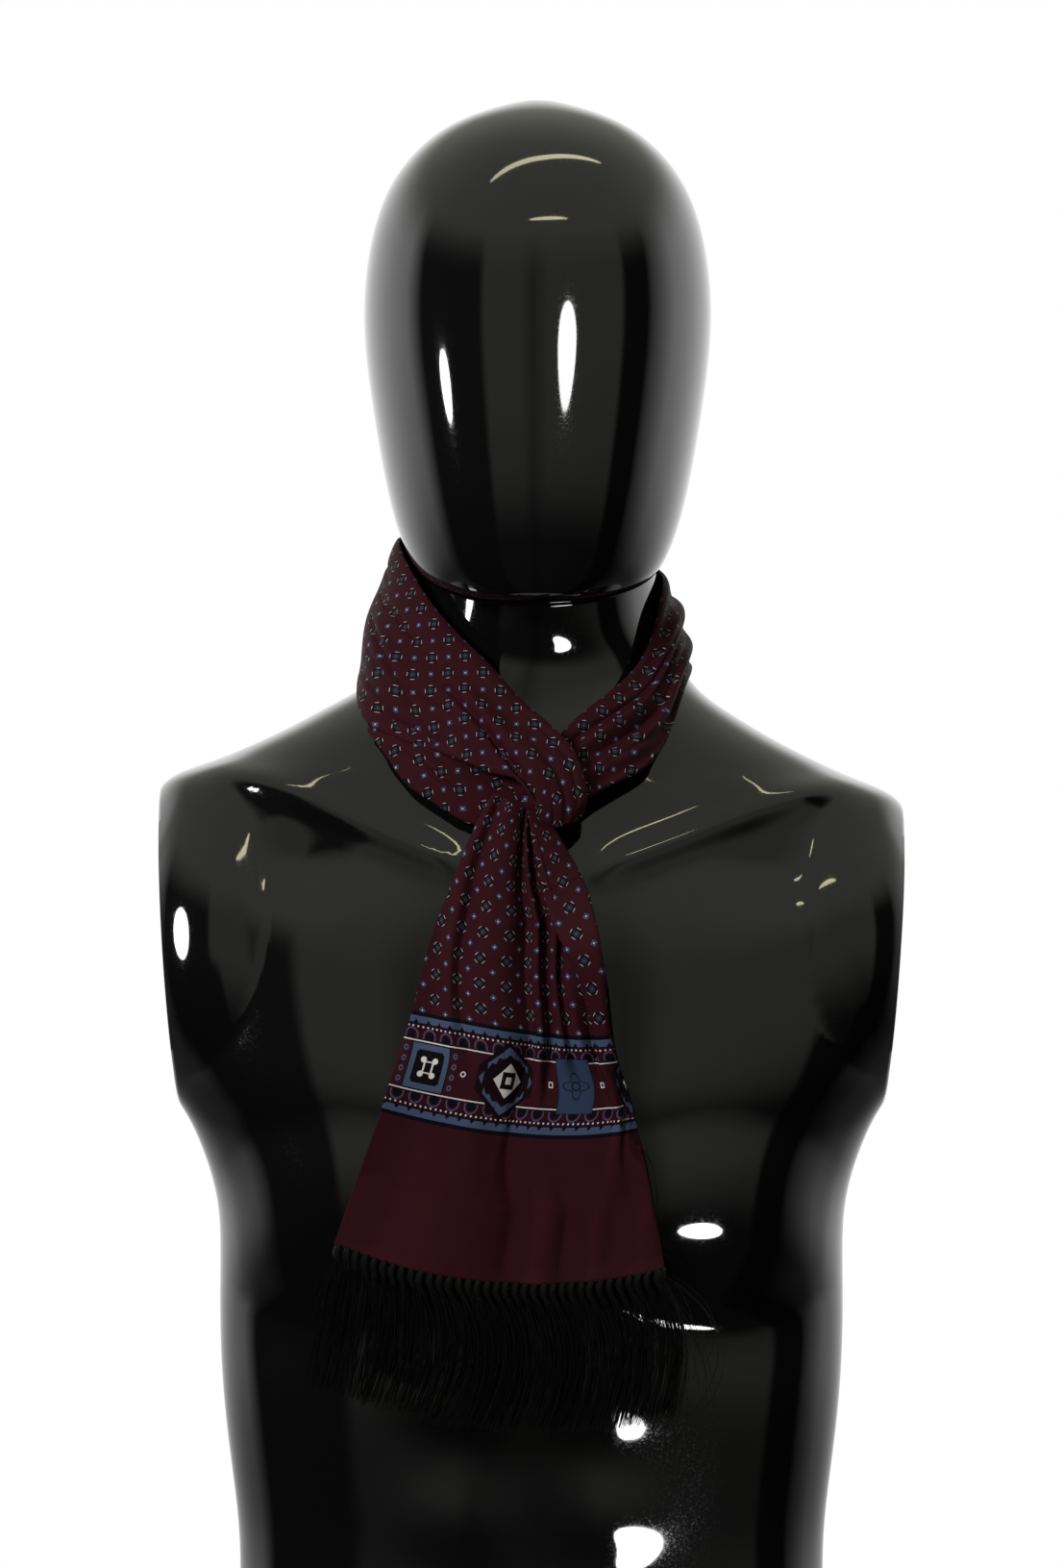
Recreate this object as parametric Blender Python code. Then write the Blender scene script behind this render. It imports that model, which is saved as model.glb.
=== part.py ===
"""Fringed silk scarf, crossed and half-knotted at the front of a headed torso form.

The scarf is one strip of silk with a fringe at each end. Folded in half lengthwise it passes round the
back of the neck. Its left band crosses over its right band, turns under it and hangs behind; the right
band passes through behind it and fans out as the front tail. Each stretch is its own solid: a cloth wall
carried through sections across the strip. The form is a glossy torso with a plain egg-shaped head.

Frame: metres, +Z up, the front faces -Y, left and right are the viewer's, and the origin is the middle
of the form's flat base.
"""

import math

import bmesh
import bpy
import numpy as np

# ------------------------------------------------------------------ driving dimensions (metres, degrees)
SEAM = 0.0003  # gap between pieces that meet
WALL = 0.0011  # cloth wall
CLOTH_WIDTH = 0.165  # the strip, selvedge to selvedge
FOLD_RADIUS = 0.0014  # how tightly a band's edge turns under
PLY_POINTS = (12, 5, 6)  # points across a band's front ply, its half turn and its turned-under ply
WAVE_PHASE = 0.4  # where a band's gathers start, in radians
ROLL_LENGTH = 0.0075  # cloth taken by the half turn at the front tail's edges
HIDDEN_PLY = 0.011  # how much of the cloth rolled behind an edge is built
HIDDEN_AT_KNOT = 0.006  # and how much of it where the tail is closed at the knot
FRINGE_LENGTH = 0.071
HEADER_HEIGHT = 0.0025  # the knotted header strip that the fringe hangs from
HEADER_DEPTH = 0.0014
FRONT_LOCKS = 60
BACK_LOCKS = 30
LOCK_LEVELS = ((0.45, 1.0), (1.0, 0.6))  # parts of a lock's length, and of its root's size that is left there
LOCK_SWAY = 0.004  # how far a lock bows sideways on its way down
LOCK_LEANS = ((0.0030, 0.10), (0.0012, 0.31))  # how far neighbours lean together, and how fast that changes
LOCK_SHORTER = 0.04  # the shortest lock, as a part less than the longest
HEAD_X = 0.003  # the head and neck stand a little to the right
NECK_CENTRE = (HEAD_X, 0.020, 0.0)
SHOULDER_DROP = 0.025  # slope of the shoulder line, lower at the right
PEC_RISE = 0.006  # how far the chest swells on each side
PEC_CENTRE = (0.085, 0.355)  # its distance from the breastbone line, and its height
PEC_SIZE = (0.050, 0.070)
FORM_ROUND = 44  # points round a ring of the form
TORSO_STEPS = 27  # rings up the torso and neck
HEAD_STEPS = 19  # rings up the head
ARM_FLAT = math.radians(12)  # the least turn that a ring's side points cover

# Level rings of the torso: height, half-width, depth in front of and behind the widest line, the y of
# that line, and the roundness of the ring (2 is an ellipse, more is squarer).
TORSO_COLUMNS = ("z", "half_width", "front", "back", "side_y", "roundness")
TORSO_RINGS = (
    (0.0000, 0.1500, 0.088, 0.098, 0.000, 2.30),
    (0.0600, 0.1460, 0.084, 0.090, 0.000, 2.30),
    (0.1200, 0.1440, 0.083, 0.084, 0.000, 2.30),
    (0.1600, 0.1467, 0.085, 0.082, 0.000, 2.30),
    (0.2050, 0.1520, 0.088, 0.083, 0.000, 2.30),
    (0.2540, 0.1540, 0.092, 0.088, 0.000, 2.30),
    (0.2960, 0.1545, 0.096, 0.094, 0.000, 2.30),
    (0.3250, 0.1614, 0.099, 0.098, 0.000, 2.30),
    (0.3440, 0.1700, 0.101, 0.101, 0.001, 2.30),
    (0.3600, 0.1800, 0.102, 0.104, 0.001, 2.30),
    (0.3850, 0.1920, 0.102, 0.108, 0.002, 2.30),
    (0.4150, 0.2000, 0.100, 0.111, 0.003, 2.30),
    (0.4450, 0.2010, 0.096, 0.112, 0.004, 2.30),
    (0.4700, 0.1970, 0.090, 0.107, 0.005, 2.25),
    (0.4900, 0.1895, 0.085, 0.101, 0.006, 2.20),
    (0.5059, 0.1800, 0.081, 0.096, 0.007, 2.20),
    (0.5154, 0.1590, 0.079, 0.092, 0.008, 2.15),
    (0.5249, 0.1370, 0.077, 0.088, 0.008, 2.10),
    (0.5344, 0.1180, 0.074, 0.084, 0.008, 2.10),
    (0.5440, 0.1010, 0.070, 0.080, 0.007, 2.05),
    (0.5540, 0.0850, 0.066, 0.076, 0.005, 2.00),
)
# Rings of the neck and of the head, whose planes rise towards the back by the given slope.
NECK_COLUMNS = ("z", "slope", "half_width", "front", "back", "side_y")
NECK_RINGS = (
    (0.5660, 0.050, 0.0730, 0.0630, 0.0730, 0.003),
    (0.5800, 0.150, 0.0650, 0.0610, 0.0670, 0.000),
    (0.5970, 0.270, 0.0602, 0.0610, 0.0620, -0.003),
    (0.6176, 0.374, 0.0585, 0.0620, 0.0590, -0.005),
)
HEAD_RINGS = (
    (0.6176, 0.374, 0.0585, 0.0620, 0.0590, -0.005),
    (0.6195, 0.345, 0.0602, 0.0780, 0.0610, -0.006),
    (0.6260, 0.320, 0.0645, 0.0930, 0.0640, -0.008),
    (0.6400, 0.260, 0.0702, 0.1000, 0.0700, -0.010),
    (0.6650, 0.180, 0.0762, 0.1040, 0.0800, -0.012),
    (0.7050, 0.100, 0.0828, 0.1050, 0.0920, -0.013),
    (0.7392, 0.040, 0.0855, 0.1040, 0.1000, -0.013),
    (0.7700, 0.000, 0.0828, 0.0990, 0.1000, -0.013),
    (0.7963, 0.000, 0.0752, 0.0880, 0.0920, -0.012),
    (0.8165, 0.000, 0.0622, 0.0720, 0.0770, -0.011),
    (0.8320, 0.000, 0.0430, 0.0490, 0.0520, -0.010),
    (0.8415, 0.000, 0.0190, 0.0220, 0.0230, -0.010),
)
CROWN_Z = 0.8450
CROWN_Y = -0.010
HEAD_ROUNDNESS = 2.08
RING_COLUMNS = ("z", "slope", "half_width", "front", "back", "side_y", "roundness", "side_x")
# The flat armhole cuts: half-width of the form between them at two heights.
CUT_LOW = (0.3535, 0.1736)
CUT_HIGH = (0.5150, 0.1845)

# Sections across the cloth, in order from the left band's turned tip, over the crossing, round the neck
# and back to the middle. Each has its upper edge, its lower edge, how far it arches out between them,
# the height and number of its lengthwise gathers, and how much cloth is turned under at the lower edge.
BAND_COLUMNS = ("ux", "uy", "uz", "lx", "ly", "lz", "arch", "gather", "waves", "under")
LOOP_SECTIONS = (
    (0.0248, -0.0976, 0.4936, 0.0160, -0.1006, 0.4888, 0.0012, 0.0000, 1.5, 0.004),
    (0.0255, -0.0998, 0.4978, 0.0138, -0.1040, 0.4880, 0.0018, 0.0003, 1.5, 0.005),
    (0.0256, -0.1010, 0.5055, 0.0096, -0.1060, 0.4896, 0.0025, 0.0008, 1.5, 0.008),
    (0.0206, -0.0985, 0.5219, 0.0046, -0.1070, 0.4955, 0.0030, 0.0012, 1.5, 0.011),
    (0.0114, -0.0930, 0.5333, -0.0005, -0.1060, 0.5042, 0.0030, 0.0012, 1.5, 0.012),
    (0.0032, -0.0870, 0.5408, -0.0075, -0.1030, 0.5125, 0.0030, 0.0012, 1.5, 0.012),
    (-0.0060, -0.0800, 0.5490, -0.0180, -0.0985, 0.5130, 0.0035, 0.0013, 1.5, 0.014),
    (-0.0190, -0.0720, 0.5635, -0.0350, -0.0930, 0.5100, 0.0040, 0.0014, 1.5, 0.022),
    (-0.0338, -0.0620, 0.5781, -0.0535, -0.0840, 0.5060, 0.0040, 0.0013, 1.5, 0.030),
    (-0.0489, -0.0490, 0.5953, -0.0705, -0.0700, 0.5240, 0.0040, 0.0012, 1.5, 0.035),
    (-0.0612, -0.0285, 0.6150, -0.0830, -0.0500, 0.5440, 0.0035, 0.0011, 1.5, 0.038),
    (-0.0667, -0.0040, 0.6275, -0.0850, -0.0150, 0.5620, 0.0030, 0.0010, 1.5, 0.042),
    (-0.0620, 0.0220, 0.6315, -0.0805, 0.0200, 0.5670, 0.0030, 0.0009, 1.5, 0.045),
    (-0.0480, 0.0460, 0.6350, -0.0640, 0.0580, 0.5690, 0.0030, 0.0008, 1.5, 0.045),
    (-0.0260, 0.0610, 0.6370, -0.0340, 0.0810, 0.5675, 0.0030, 0.0008, 1.6, 0.045),
    (0.0020, 0.0660, 0.6370, 0.0010, 0.0890, 0.5675, 0.0030, 0.0009, 1.8, 0.044),
    (0.0300, 0.0610, 0.6320, 0.0360, 0.0800, 0.5690, 0.0030, 0.0010, 2.0, 0.042),
    (0.0520, 0.0460, 0.6230, 0.0660, 0.0560, 0.5710, 0.0030, 0.0012, 2.2, 0.040),
    (0.0635, 0.0220, 0.6150, 0.0785, 0.0180, 0.5690, 0.0030, 0.0016, 2.4, 0.034),
    (0.0665, -0.0040, 0.6080, 0.0784, -0.0140, 0.5633, 0.0030, 0.0018, 2.5, 0.030),
    (0.0632, -0.0280, 0.5944, 0.0745, -0.0410, 0.5550, 0.0030, 0.0020, 2.5, 0.026),
    (0.0551, -0.0460, 0.5708, 0.0670, -0.0610, 0.5350, 0.0030, 0.0020, 2.5, 0.022),
    (0.0399, -0.0620, 0.5537, 0.0545, -0.0790, 0.5179, 0.0030, 0.0020, 2.5, 0.020),
    (0.0217, -0.0760, 0.5391, 0.0340, -0.0910, 0.5073, 0.0025, 0.0018, 2.5, 0.016),
    (0.0101, -0.0845, 0.5266, 0.0215, -0.0945, 0.4990, 0.0020, 0.0014, 2.5, 0.012),
    (-0.0023, -0.0880, 0.5151, 0.0095, -0.0945, 0.4950, 0.0015, 0.0008, 2.5, 0.007),
    (-0.0142, -0.0900, 0.5079, 0.0015, -0.0945, 0.4955, 0.0008, 0.0004, 2.5, 0.004),
)
LEFT_BACK = 13.0  # the sections where the left band, the back and the right band meet
RIGHT_BACK = 17.0
SECTION_GAP = 0.014  # the gap where they meet, as a part of the way to the next section
# The left band's lower part, which passes behind the front tail.
LOWER_PLY_SECTIONS = (
    (-0.0490, -0.0735, 0.5230, -0.0530, -0.0760, 0.5050, 0.0005, 0.0000, 1.0, 0.003),
    (-0.0380, -0.0780, 0.5180, -0.0415, -0.0845, 0.4965, 0.0010, 0.0004, 1.0, 0.004),
    (-0.0260, -0.0815, 0.5120, -0.0290, -0.0885, 0.4905, 0.0010, 0.0005, 1.0, 0.004),
    (-0.0120, -0.0825, 0.5060, -0.0115, -0.0890, 0.4875, 0.0010, 0.0004, 1.0, 0.004),
    (0.0020, -0.0830, 0.5020, 0.0060, -0.0890, 0.4865, 0.0010, 0.0000, 1.0, 0.003),
)
# The hidden tail, folded in half lengthwise: sections from its left edge to its folded right edge.
BACK_TAIL_SECTIONS = (
    (-0.0150, -0.0880, 0.4830, 0.0060, -0.0880, 0.4820, 0.0000, 0.0004, 2.0, 0.018),
    (-0.0200, -0.0910, 0.4680, 0.0130, -0.0910, 0.4670, 0.0000, 0.0006, 2.0, 0.028),
    (-0.0280, -0.0992, 0.4360, 0.0220, -0.0992, 0.4350, 0.0000, 0.0006, 2.0, 0.044),
    (-0.0360, -0.1062, 0.4000, 0.0300, -0.1062, 0.3990, 0.0000, 0.0006, 2.0, 0.058),
    (-0.0410, -0.1090, 0.3650, 0.0340, -0.1090, 0.3640, 0.0000, 0.0006, 2.0, 0.066),
    (-0.0420, -0.1095, 0.3500, 0.0350, -0.1095, 0.3490, 0.0000, 0.0006, 2.0, 0.068),
)

# Rows down the front tail: its left and right silhouette, how far the row bows down between them, its y,
# how far it is closed into its knot folds, and the cloth rolled behind at its left and right edges.
TAIL_COLUMNS = ("lx", "lz", "rx", "rz", "bow", "y", "closed", "roll_left", "roll_right")
TAIL_ROWS = (
    (-0.0175, 0.5035, 0.0060, 0.4945, 0.0015, -0.0998, 1.00, 0.042, 0.057),
    (-0.0235, 0.4945, 0.0110, 0.4865, 0.0070, -0.1015, 1.00, 0.037, 0.052),
    (-0.0334, 0.4725, 0.0215, 0.4685, 0.0105, -0.1060, 0.80, 0.027, 0.044),
    (-0.0402, 0.4548, 0.0283, 0.4515, 0.0110, -0.1095, 0.60, 0.019, 0.041),
    (-0.0497, 0.4280, 0.0337, 0.4235, 0.0107, -0.1140, 0.35, 0.009, 0.038),
    (-0.0564, 0.4004, 0.0373, 0.3895, 0.0099, -0.1170, 0.15, 0.001, 0.035),
    (-0.0640, 0.3768, 0.0440, 0.3665, 0.0109, -0.1185, 0.05, -0.003, 0.029),
    (-0.0712, 0.3535, 0.0504, 0.3435, 0.0117, -0.1195, 0.00, -0.004, 0.021),
    (-0.0824, 0.3220, 0.0571, 0.3110, 0.0129, -0.1200, 0.00, -0.004, 0.011),
    (-0.0933, 0.2905, 0.0630, 0.2790, 0.0136, -0.1200, 0.00, -0.004, 0.001),
)
# The front tail's lengthwise folds: the slope of the cloth against the plane of the tail, in degrees, at
# places across the strip, where it hangs open and where it is closed at the knot. A plus sign comes
# forward. The gather of each row, found from its width, scales these.
FOLD_COLUMNS = ("v", "open", "closed")
TAIL_FOLDS = (
    (0.000, -12.0, 0.0),
    (0.008, -20.0, 0.0),
    (0.018, 16.0, 0.0),
    (0.030, 20.0, 0.0),
    (0.040, -16.0, 24.0),
    (0.048, -12.0, 30.0),
    (0.056, 8.0, -34.0),
    (0.065, 6.0, -20.0),
    (0.073, -32.0, -34.0),
    (0.080, -26.0, -36.0),
    (0.087, 26.0, 34.0),
    (0.095, 34.0, 38.0),
    (0.104, 4.0, 8.0),
    (0.115, -16.0, -24.0),
    (0.128, -4.0, -16.0),
    (0.140, 14.0, 0.0),
    (0.152, -14.0, 0.0),
    (0.165, 8.0, 0.0),
)
UNDER_SLOPE = 168.0  # how far round the cloth turns where it rolls behind
FLAT_PANEL = (0.046, 0.070)  # the part of the strip that stays in the plane of the tail
MOST_GATHER = 1.25
TAIL_STEPS = 18  # rings down the front tail
TAIL_POINTS = 30  # points across it
TURN_POINTS = 0.006  # a radian of turn gets as many points as this much flat cloth


# ------------------------------------------------------------------ materials
def add_material(name, colour, roughness, coat=0.0):
    """A Principled material of one colour."""
    material = bpy.data.materials.new(name)
    material.use_nodes = True
    shader = material.node_tree.nodes["Principled BSDF"]
    shader.inputs["Base Color"].default_value = (*colour, 1.0)
    shader.inputs["Roughness"].default_value = roughness
    shader.inputs["Metallic"].default_value = 0.0
    shader.inputs["Coat Weight"].default_value = coat
    return material


# ------------------------------------------------------------------ curves through tables
def smooth(keys, values, at):
    """Natural cubic spline through the values at the keys: second derivatives from one linear system."""
    keys = np.asarray(keys, float)
    values = np.asarray(values, float)
    at = np.clip(np.asarray(at, float), keys[0], keys[-1])
    step = np.diff(keys)
    rise = np.diff(values, axis=0) / step.reshape((-1,) + (1,) * (values.ndim - 1))
    system = np.eye(len(keys))
    right = np.zeros_like(values)
    for i in range(1, len(keys) - 1):
        system[i, i - 1 : i + 2] = step[i - 1], 2 * (step[i - 1] + step[i]), step[i]
        right[i] = 6 * (rise[i] - rise[i - 1])
    bend = np.linalg.solve(system, right)
    k = np.clip(np.searchsorted(keys, at, side="right") - 1, 0, len(keys) - 2)
    shape = (-1,) + (1,) * (values.ndim - 1)
    h = step[k].reshape(shape)
    a = (keys[k + 1] - at).reshape(shape) / h
    b = 1.0 - a
    curve = a * values[k] + b * values[k + 1]
    return curve + ((a**3 - a) * bend[k] + (b**3 - b) * bend[k + 1]) * h**2 / 6


def table(columns, rows, at, key=None):
    """Every column of a table, read from splines at the places `at` (row numbers, or values of the key)."""
    rows = np.asarray(rows, float)
    keys = np.arange(len(rows)) if key is None else rows[:, columns.index(key)]
    read = smooth(keys, rows, at)
    return {name: read[:, i] for i, name in enumerate(columns)}


def ease(x):
    """Smooth step from 0 at x = 0 to 1 at x = 1."""
    x = np.clip(x, 0.0, 1.0)
    return x * x * (3 - 2 * x)


# ------------------------------------------------------------------ meshes
def add_object(name, vertices, faces, material, smooth_angle=50):
    """An object from points and faces, with its faces turned outwards."""
    mesh = bpy.data.meshes.new(name)
    mesh.from_pydata([tuple(map(float, v)) for v in vertices], [], faces)
    work = bmesh.new()
    work.from_mesh(mesh)
    bmesh.ops.recalc_face_normals(work, faces=work.faces)
    work.to_mesh(mesh)
    work.free()
    mesh.materials.append(material)
    mesh.shade_smooth()
    mesh.set_sharp_from_angle(angle=math.radians(smooth_angle))
    item = bpy.data.objects.new(name, mesh)
    bpy.context.collection.objects.link(item)
    return item


def lofted(rings):
    """Quads between closed rings of equal length."""
    count = len(rings[0])
    faces = []
    for row in range(len(rings) - 1):
        for k in range(count):
            after = (k + 1) % count
            base = row * count
            faces.append((base + k, base + after, base + count + after, base + count + k))
    return faces


# ------------------------------------------------------------------ the form
def arm_cut(z):
    """Half-width between the two flat armhole cuts at a height."""
    (z0, x0), (z1, x1) = CUT_LOW, CUT_HIGH
    return x0 + (x1 - x0) * (z - z0) / (z1 - z0)


def chest_relief(x, z):
    """How far the front swells: a soft mound on each side of the breastbone."""
    side = (np.abs(x) - PEC_CENTRE[0]) / PEC_SIZE[0]
    height = (z - PEC_CENTRE[1]) / PEC_SIZE[1]
    return PEC_RISE * np.exp(-(side**2) - height**2)


def form_ring(ring):
    """One ring of the form: a squared ellipse, deeper behind than in front, cut flat at the arms."""
    power = 2.0 / ring["roundness"]
    cut = arm_cut(ring["z"])
    ratio = min(1.0, cut / ring["half_width"])
    flat = max(ARM_FLAT, math.acos(ratio ** (1 / power)))
    in_flat = FORM_ROUND // 12
    in_arc = FORM_ROUND // 2 - in_flat
    right = np.linspace(-flat, flat, in_flat, endpoint=False)
    back = np.linspace(flat, math.pi - flat, in_arc, endpoint=False)
    turn = np.concatenate([right, back, right + math.pi, back + math.pi])
    cosine, sine = np.cos(turn), np.sin(turn)
    x = ring["half_width"] * np.sign(cosine) * np.abs(cosine) ** power
    depth = np.where(sine > 0, ring["back"], ring["front"])
    y = depth * np.sign(sine) * np.abs(sine) ** power
    if ring["slope"] == 0.0 or ring["z"] < CUT_HIGH[0]:
        x = np.clip(x, -cut, cut)
    z = ring["z"] + ring["slope"] * y
    y = y + ring["side_y"]
    y = y - np.where(sine < 0, chest_relief(x, z) * np.clip(-sine * 2, 0, 1), 0.0)
    on_shoulder = ease((z - 0.42) / 0.08) * (1 - ease((z - 0.54) / 0.03))
    z = z - SHOULDER_DROP * x * on_shoulder
    return np.stack([x + ring["side_x"], y, z], axis=1)


def full_rows(columns, rows, **rest):
    """Table rows in the order of RING_COLUMNS, with the columns that the table lacks taken from `rest`."""
    known = [{**rest, **dict(zip(columns, row))} for row in rows]
    return [[row[name] for name in RING_COLUMNS] for row in known]


def read_rings(rows, last, count):
    """Rings read from the rows at `count` even places, from the first row to row number `last`."""
    read = table(RING_COLUMNS, rows, np.linspace(0, last, count))
    return [{name: read[name][i] for name in RING_COLUMNS} for i in range(count)]


def add_form(material):
    """The torso with its neck, and the head that stands on it with a thin seam under the chin."""
    rows = full_rows(TORSO_COLUMNS, TORSO_RINGS, slope=0.0, side_x=0.0)
    rows += full_rows(NECK_COLUMNS, NECK_RINGS[:1], roundness=2.0, side_x=HEAD_X / 2)
    rows += full_rows(NECK_COLUMNS, NECK_RINGS[1:], roundness=2.0, side_x=HEAD_X)
    rings = [form_ring(ring) for ring in read_rings(rows, len(rows) - 1, TORSO_STEPS)]
    rings[0][:, 2] = 0.0
    points = np.concatenate(rings)
    count = len(rings[0])
    base = tuple(range(count))
    top = tuple(len(points) - count + k for k in range(count))
    add_object("form_torso", points, lofted(rings) + [base, top], material)

    # The rows go on past the crown, turned over, so that the splines close the head in a round.
    head = full_rows(NECK_COLUMNS, HEAD_RINGS, roundness=HEAD_ROUNDNESS, side_x=HEAD_X)
    crown = [CROWN_Z, 0.0, 0.0, 0.0, 0.0, CROWN_Y, HEAD_ROUNDNESS, HEAD_X]
    beyond = [[z, slope, -w, -f, -b, *rest] for z, slope, w, f, b, *rest in reversed(head[-3:])]
    rings = [form_ring(ring) for ring in read_rings(head + [crown] + beyond, len(head), HEAD_STEPS)[:-1]]
    rings[0][:, 2] += SEAM
    points = np.concatenate(rings + [np.array([[HEAD_X, CROWN_Y, CROWN_Z]])])
    count = len(rings[0])
    last = (len(rings) - 1) * count
    pole = len(points) - 1
    cap = [(last + k, last + (k + 1) % count, pole) for k in range(count)]
    add_object("form_head", points, lofted(rings) + [tuple(range(count))] + cap, material)


# ------------------------------------------------------------------ cloth walls
def wall_ring(across, out, wall=WALL):
    """A closed ring round a section line: the line moved half a wall to each side of itself."""
    line = np.stack([across, out], axis=1)
    run = np.gradient(line, axis=0)
    run /= np.linalg.norm(run, axis=1)[:, None]
    side = np.stack([-run[:, 1], run[:, 0]], axis=1) * wall / 2
    return np.concatenate([line + side, (line - side)[::-1]])


def add_wall(name, rings, material):
    """A cloth wall from its section rings, with a strip of quads closing each end."""
    count = len(rings[0])
    points = np.concatenate(rings)
    faces = lofted(rings)
    last = (len(rings) - 1) * count
    for start in (0, last):
        for k in range(count // 2 - 1):
            faces.append((start + k, start + k + 1, start + count - 2 - k, start + count - 1 - k))
    return add_object(name, points, faces, material)


def band_line(length, arch, gather, waves, under):
    """A band's section line: an arched front ply with gathers, a half turn, and the ply turned under."""
    front_points, turn_points, under_points = PLY_POINTS
    front = np.linspace(0.0, 1.0, front_points)
    wave = np.sin(math.pi * front) ** 0.5 * np.cos(2 * math.pi * waves * front + WAVE_PHASE)
    out = arch * 4 * front * (1 - front) + gather * wave
    turn = np.linspace(0.0, math.pi, turn_points)[1:]
    turn_across = length + FOLD_RADIUS * np.sin(turn)
    turn_out = -FOLD_RADIUS * (1 - np.cos(turn))
    below = np.linspace(0.0, min(under, 0.94 * length), under_points)[1:] / length
    below_out = arch * 4 * below * (1 - below) - 2 * FOLD_RADIUS - gather * ease(below * 3)
    across = np.concatenate([front * length, turn_across, (1 - below) * length])
    return across, np.concatenate([out, turn_out, below_out])


def band_places(sections, at):
    """The upper edge, the direction across, the length across and the outward normal at the places."""
    def edges(places):
        read = table(BAND_COLUMNS, sections, places)
        upper = np.stack([read["ux"], read["uy"], read["uz"]], axis=1)
        lower = np.stack([read["lx"], read["ly"], read["lz"]], axis=1)
        return read, upper, lower

    read, upper, lower = edges(at)
    before = sum(edges(np.maximum(at - 0.05, 0.0))[1:])
    after = sum(edges(np.minimum(at + 0.05, len(sections) - 1.0))[1:])
    chord = lower - upper
    length = np.linalg.norm(chord, axis=1)
    chord = chord / length[:, None]
    outward = np.cross(chord, after - before)
    outward /= np.linalg.norm(outward, axis=1)[:, None]
    from_neck = ((upper + lower) / 2 - NECK_CENTRE) * (1, 1, 0)
    facing = np.sum(outward * from_neck, axis=1)
    return read, upper, chord, length, outward * np.sign(facing)[:, None]


def band_rings(sections, at, wall=WALL, points=None):
    """The wall's rings at the places, with `points` evenly spaced points on each section line if given."""
    read, upper, chord, length, outward = band_places(sections, at)
    rings = []
    for i in range(len(at)):
        values = [read[name][i] for name in ("arch", "gather", "waves", "under")]
        across, out = band_line(length[i], *values)
        if points:
            across, out = evened(across, out, points)
        ring = wall_ring(across, out, wall)
        rings.append(upper[i] + ring[:, :1] * chord[i] + ring[:, 1:] * outward[i])
    return rings


def add_band(name, sections, first, last, steps, material):
    """A band carried through its sections from place `first` to place `last`, counted in sections."""
    return add_wall(name, band_rings(sections, np.linspace(first, last, steps)), material)


# ------------------------------------------------------------------ tails
def evened(across, out, points, bend=0.0):
    """The same line with its points evenly spaced, or closer by `bend` metres a radian where it turns."""
    angle = np.unwrap(np.arctan2(np.diff(out), np.diff(across)))
    turn = np.abs(np.diff(angle, prepend=angle[0]))
    step = np.hypot(np.diff(across), np.diff(out)) + bend * turn
    run = np.concatenate([[0.0], np.cumsum(step)])
    even = np.linspace(0, run[-1], points)
    return np.interp(even, run, across), np.interp(even, run, out)


def tail_line(row, gather):
    """The front tail's section line: the slopes of its folds added up along the cloth."""
    closed = np.clip(row["closed"], 0.0, 1.0)
    hidden = HIDDEN_PLY + (HIDDEN_AT_KNOT - HIDDEN_PLY) * closed
    start = max(0.0, row["roll_left"] - hidden)
    end = CLOTH_WIDTH - max(0.0, row["roll_right"] - hidden)
    v = np.linspace(start, end, 301)
    folds = table(FOLD_COLUMNS, TAIL_FOLDS, v, key="v")
    slope = np.radians(gather * (folds["open"] * (1 - closed) + folds["closed"] * closed))
    at_left = 1 - ease((v - row["roll_left"]) / ROLL_LENGTH + 0.5)
    at_right = ease((v - CLOTH_WIDTH + row["roll_right"]) / ROLL_LENGTH + 0.5)
    under = math.radians(UNDER_SLOPE)
    slope = slope * (1 - at_left) * (1 - at_right) + under * (at_left - at_right)
    middle = (slope[1:] + slope[:-1]) / 2
    across = np.concatenate([[0.0], np.cumsum(np.cos(middle))]) * (v[1] - v[0])
    out = np.concatenate([[0.0], np.cumsum(np.sin(middle))]) * (v[1] - v[0])
    panel = (v > FLAT_PANEL[0]) & (v < FLAT_PANEL[1])
    return across - across.min(), out - out[panel].mean()


def row_line(row, points, bend):
    """The section line of one row, with the gather that makes it as wide as the tail shows there."""
    width = math.hypot(row["rx"] - row["lx"], row["rz"] - row["lz"])
    low, high = 0.0, MOST_GATHER
    for _ in range(20):
        gather = (low + high) / 2
        across, out = tail_line(row, gather)
        low, high = (gather, high) if across.max() > width else (low, gather)
    squeeze = width / across.max()
    return evened(across * squeeze, out * min(squeeze, 1.0), points, bend)


def tail_place(row, across, out):
    """Points of a tail's row: along the bowed line from its left to its right edge, moved out by `out`."""
    width = math.hypot(row["rx"] - row["lx"], row["rz"] - row["lz"])
    q = across / width
    x = row["lx"] + (row["rx"] - row["lx"]) * q
    z = row["lz"] + (row["rz"] - row["lz"]) * q - row["bow"] * 4 * q * (1 - q)
    return np.stack([x, row["y"] - out, z], axis=1)


def tail_rings(at, points, wall=WALL, bend=TURN_POINTS):
    """The front tail's wall rings at the places `at`, counted in rows."""
    read = table(TAIL_COLUMNS, TAIL_ROWS, at)
    rings = []
    for i in range(len(at)):
        row = {name: read[name][i] for name in TAIL_COLUMNS}
        ring = wall_ring(*row_line(row, points, bend), wall)
        rings.append(tail_place(row, ring[:, 0], ring[:, 1]))
    return rings


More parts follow.
